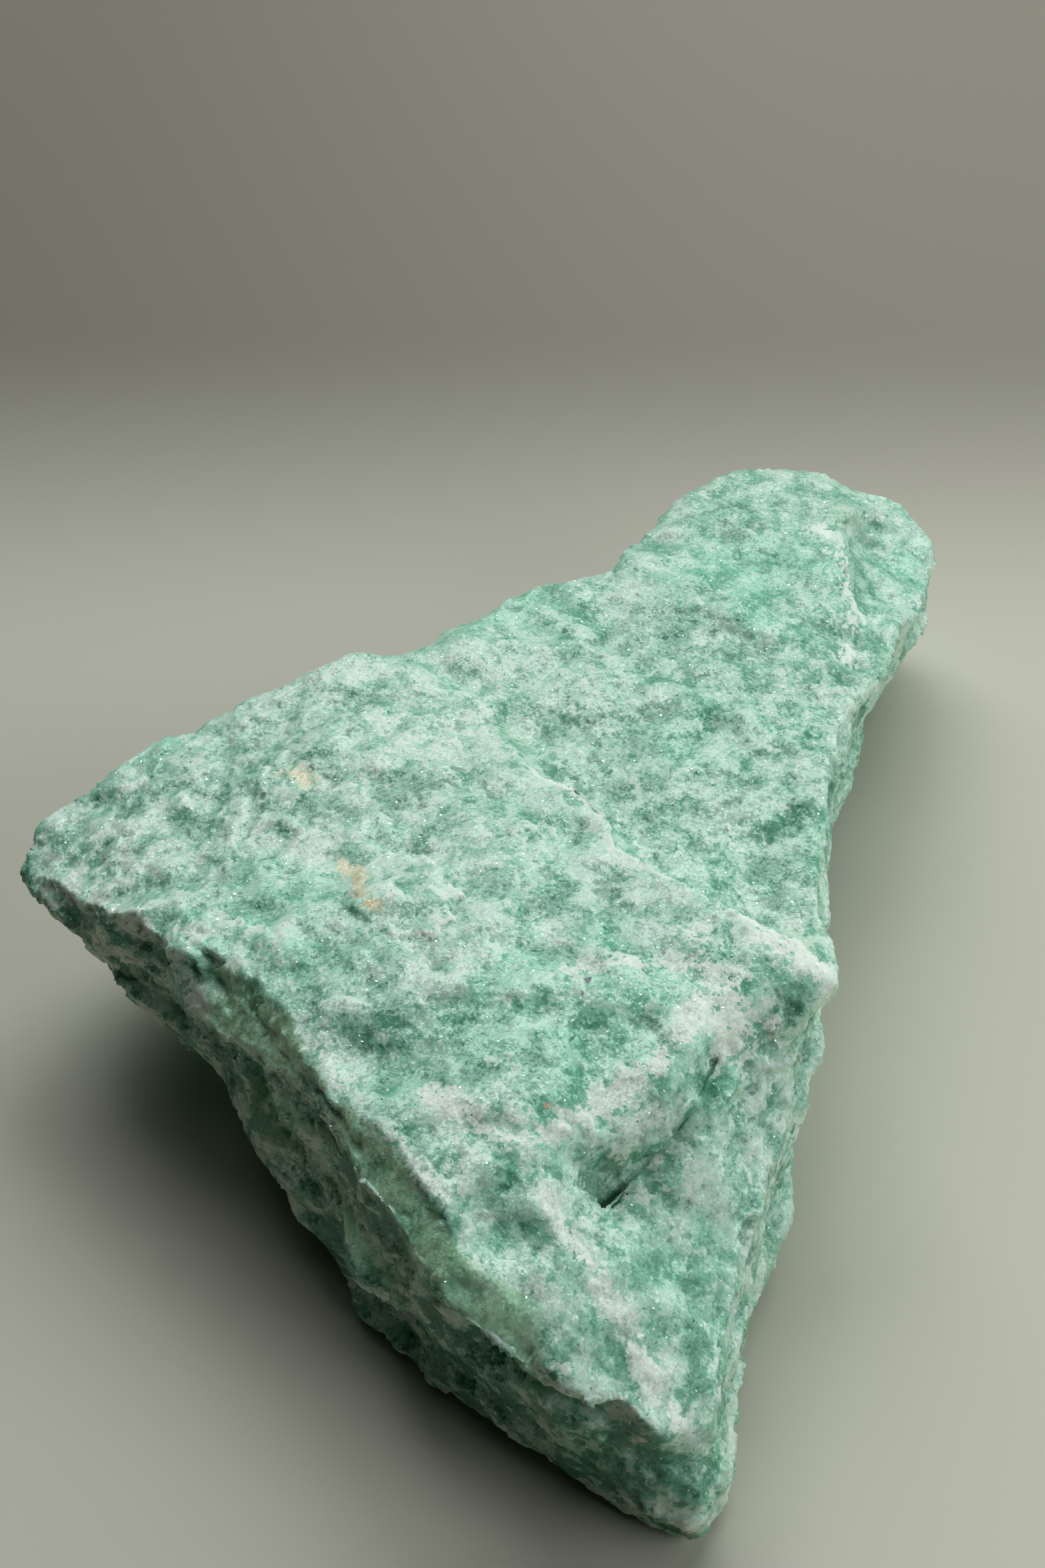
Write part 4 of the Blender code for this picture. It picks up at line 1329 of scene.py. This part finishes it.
# %% Tree that lays the mica
PLATES = {
    "Plates per square metre": 62000.0,
    "Plate radius": 0.00024,
    "Plate thickness": 0.00006,
    "Tilt": 0.42,
    "Smallest": 0.55,
    "Largest": 1.25,
    "Lowest": 0.0030,
    "Seed": 7,
    "Size seed": 3,
}
PLATE_SIDES = 6
HALF_TURN = 3.14

tree, given, result = tree_with_inputs("lay_mica", PLATES)
place = add(tree, "GeometryNodeInputPosition").outputs[0]
height = add(tree, "ShaderNodeSeparateXYZ", {0: place}).outputs["Z"]
compared = {0: height, 1: given["Lowest"]}
above_seat = add(tree, "FunctionNodeCompare", compared, operation="GREATER_THAN").outputs[0]
scatter = add(tree, "GeometryNodeDistributePointsOnFaces", {
    "Mesh": given["Geometry"],
    "Selection": above_seat,
    "Density": given["Plates per square metre"],
    "Seed": given["Seed"],
}, distribute_method="RANDOM")
plate = add(tree, "GeometryNodeMeshCylinder", {
    "Vertices": PLATE_SIDES,
    "Radius": given["Plate radius"],
    "Depth": given["Plate thickness"],
}).outputs["Mesh"]

# Each plate leans a little any way, and turns by any angle.
lean = vector_calc(tree, "SCALE", (1.0, 1.0, 0.0), scale=given["Tilt"])
lean_back = vector_calc(tree, "SCALE", lean, scale=-1.0)
turn = add(tree, "FunctionNodeRandomValue", {
    "Min": vector_calc(tree, "ADD", lean_back, (0.0, 0.0, -HALF_TURN)),
    "Max": vector_calc(tree, "ADD", lean, (0.0, 0.0, HALF_TURN)),
    "Seed": given["Seed"],
}, data_type="FLOAT_VECTOR")
turn = add(tree, "FunctionNodeEulerToRotation", {0: turn.outputs[0]}).outputs[0]
turning = {"Rotation": scatter.outputs["Rotation"], "Rotate By": turn}
turned = add(tree, "FunctionNodeRotateRotation", turning, rotation_space="LOCAL").outputs[0]
sizes = {2: given["Smallest"], 3: given["Largest"], "Seed": given["Size seed"]}
size = add(tree, "FunctionNodeRandomValue", sizes, data_type="FLOAT").outputs[1]
laid = add(tree, "GeometryNodeInstanceOnPoints", {
    "Points": scatter.outputs["Points"],
    "Instance": plate,
    "Rotation": turned,
    "Scale": size,
})
solid = add(tree, "GeometryNodeRealizeInstances", {"Geometry": laid.outputs[0]})
finished = add(tree, "GeometryNodeSetMaterial", {"Geometry": solid.outputs[0], "Material": mica})
feed(tree, result[0], finished.outputs[0])
print("tree that lays the mica:", len(tree.nodes), "nodes")

# %% Lay the mica
plates_mesh = through_tree(skin, tree, PLATES, "mica")
plates = bpy.data.objects.new("mica_plates", plates_mesh)
bpy.context.scene.collection.objects.link(plates)
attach(plates, "root")
plate_count = len(plates_mesh.vertices) // (2 * PLATE_SIDES)
print("mica:", plate_count, "plates,", triangles_of(plates_mesh), "triangles")

# %% [markdown]
# ## The finished block
#
# The broken skin gets the rock's material and takes the place of the plain solid, which it stands
# for. Both belong to the one body, and so does the mica.

# %% Finish the block
skin.materials.clear()
skin.materials.append(rock)
for face in skin.polygons:
    face.use_smooth = True
stone = bpy.data.objects.new("aventurine_block", skin)
bpy.context.scene.collection.objects.link(stone)
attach(stone, "root")
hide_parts("aventurine")

# %% [markdown]
# ## Sizes
#
# The dressed block stays as large as its solid. We gather both boxes side by side, and print the size
# of the dressed one.

# %% Gather the sizes
bpy.context.view_layer.update()
looks_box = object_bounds()
sizes = {"cad": [list(corner) for corner in CAD_BOX], "looks": [list(corner) for corner in looks_box]}
print("dressed block, in metres:", [round(b - a, 4) for a, b in zip(*looks_box)])
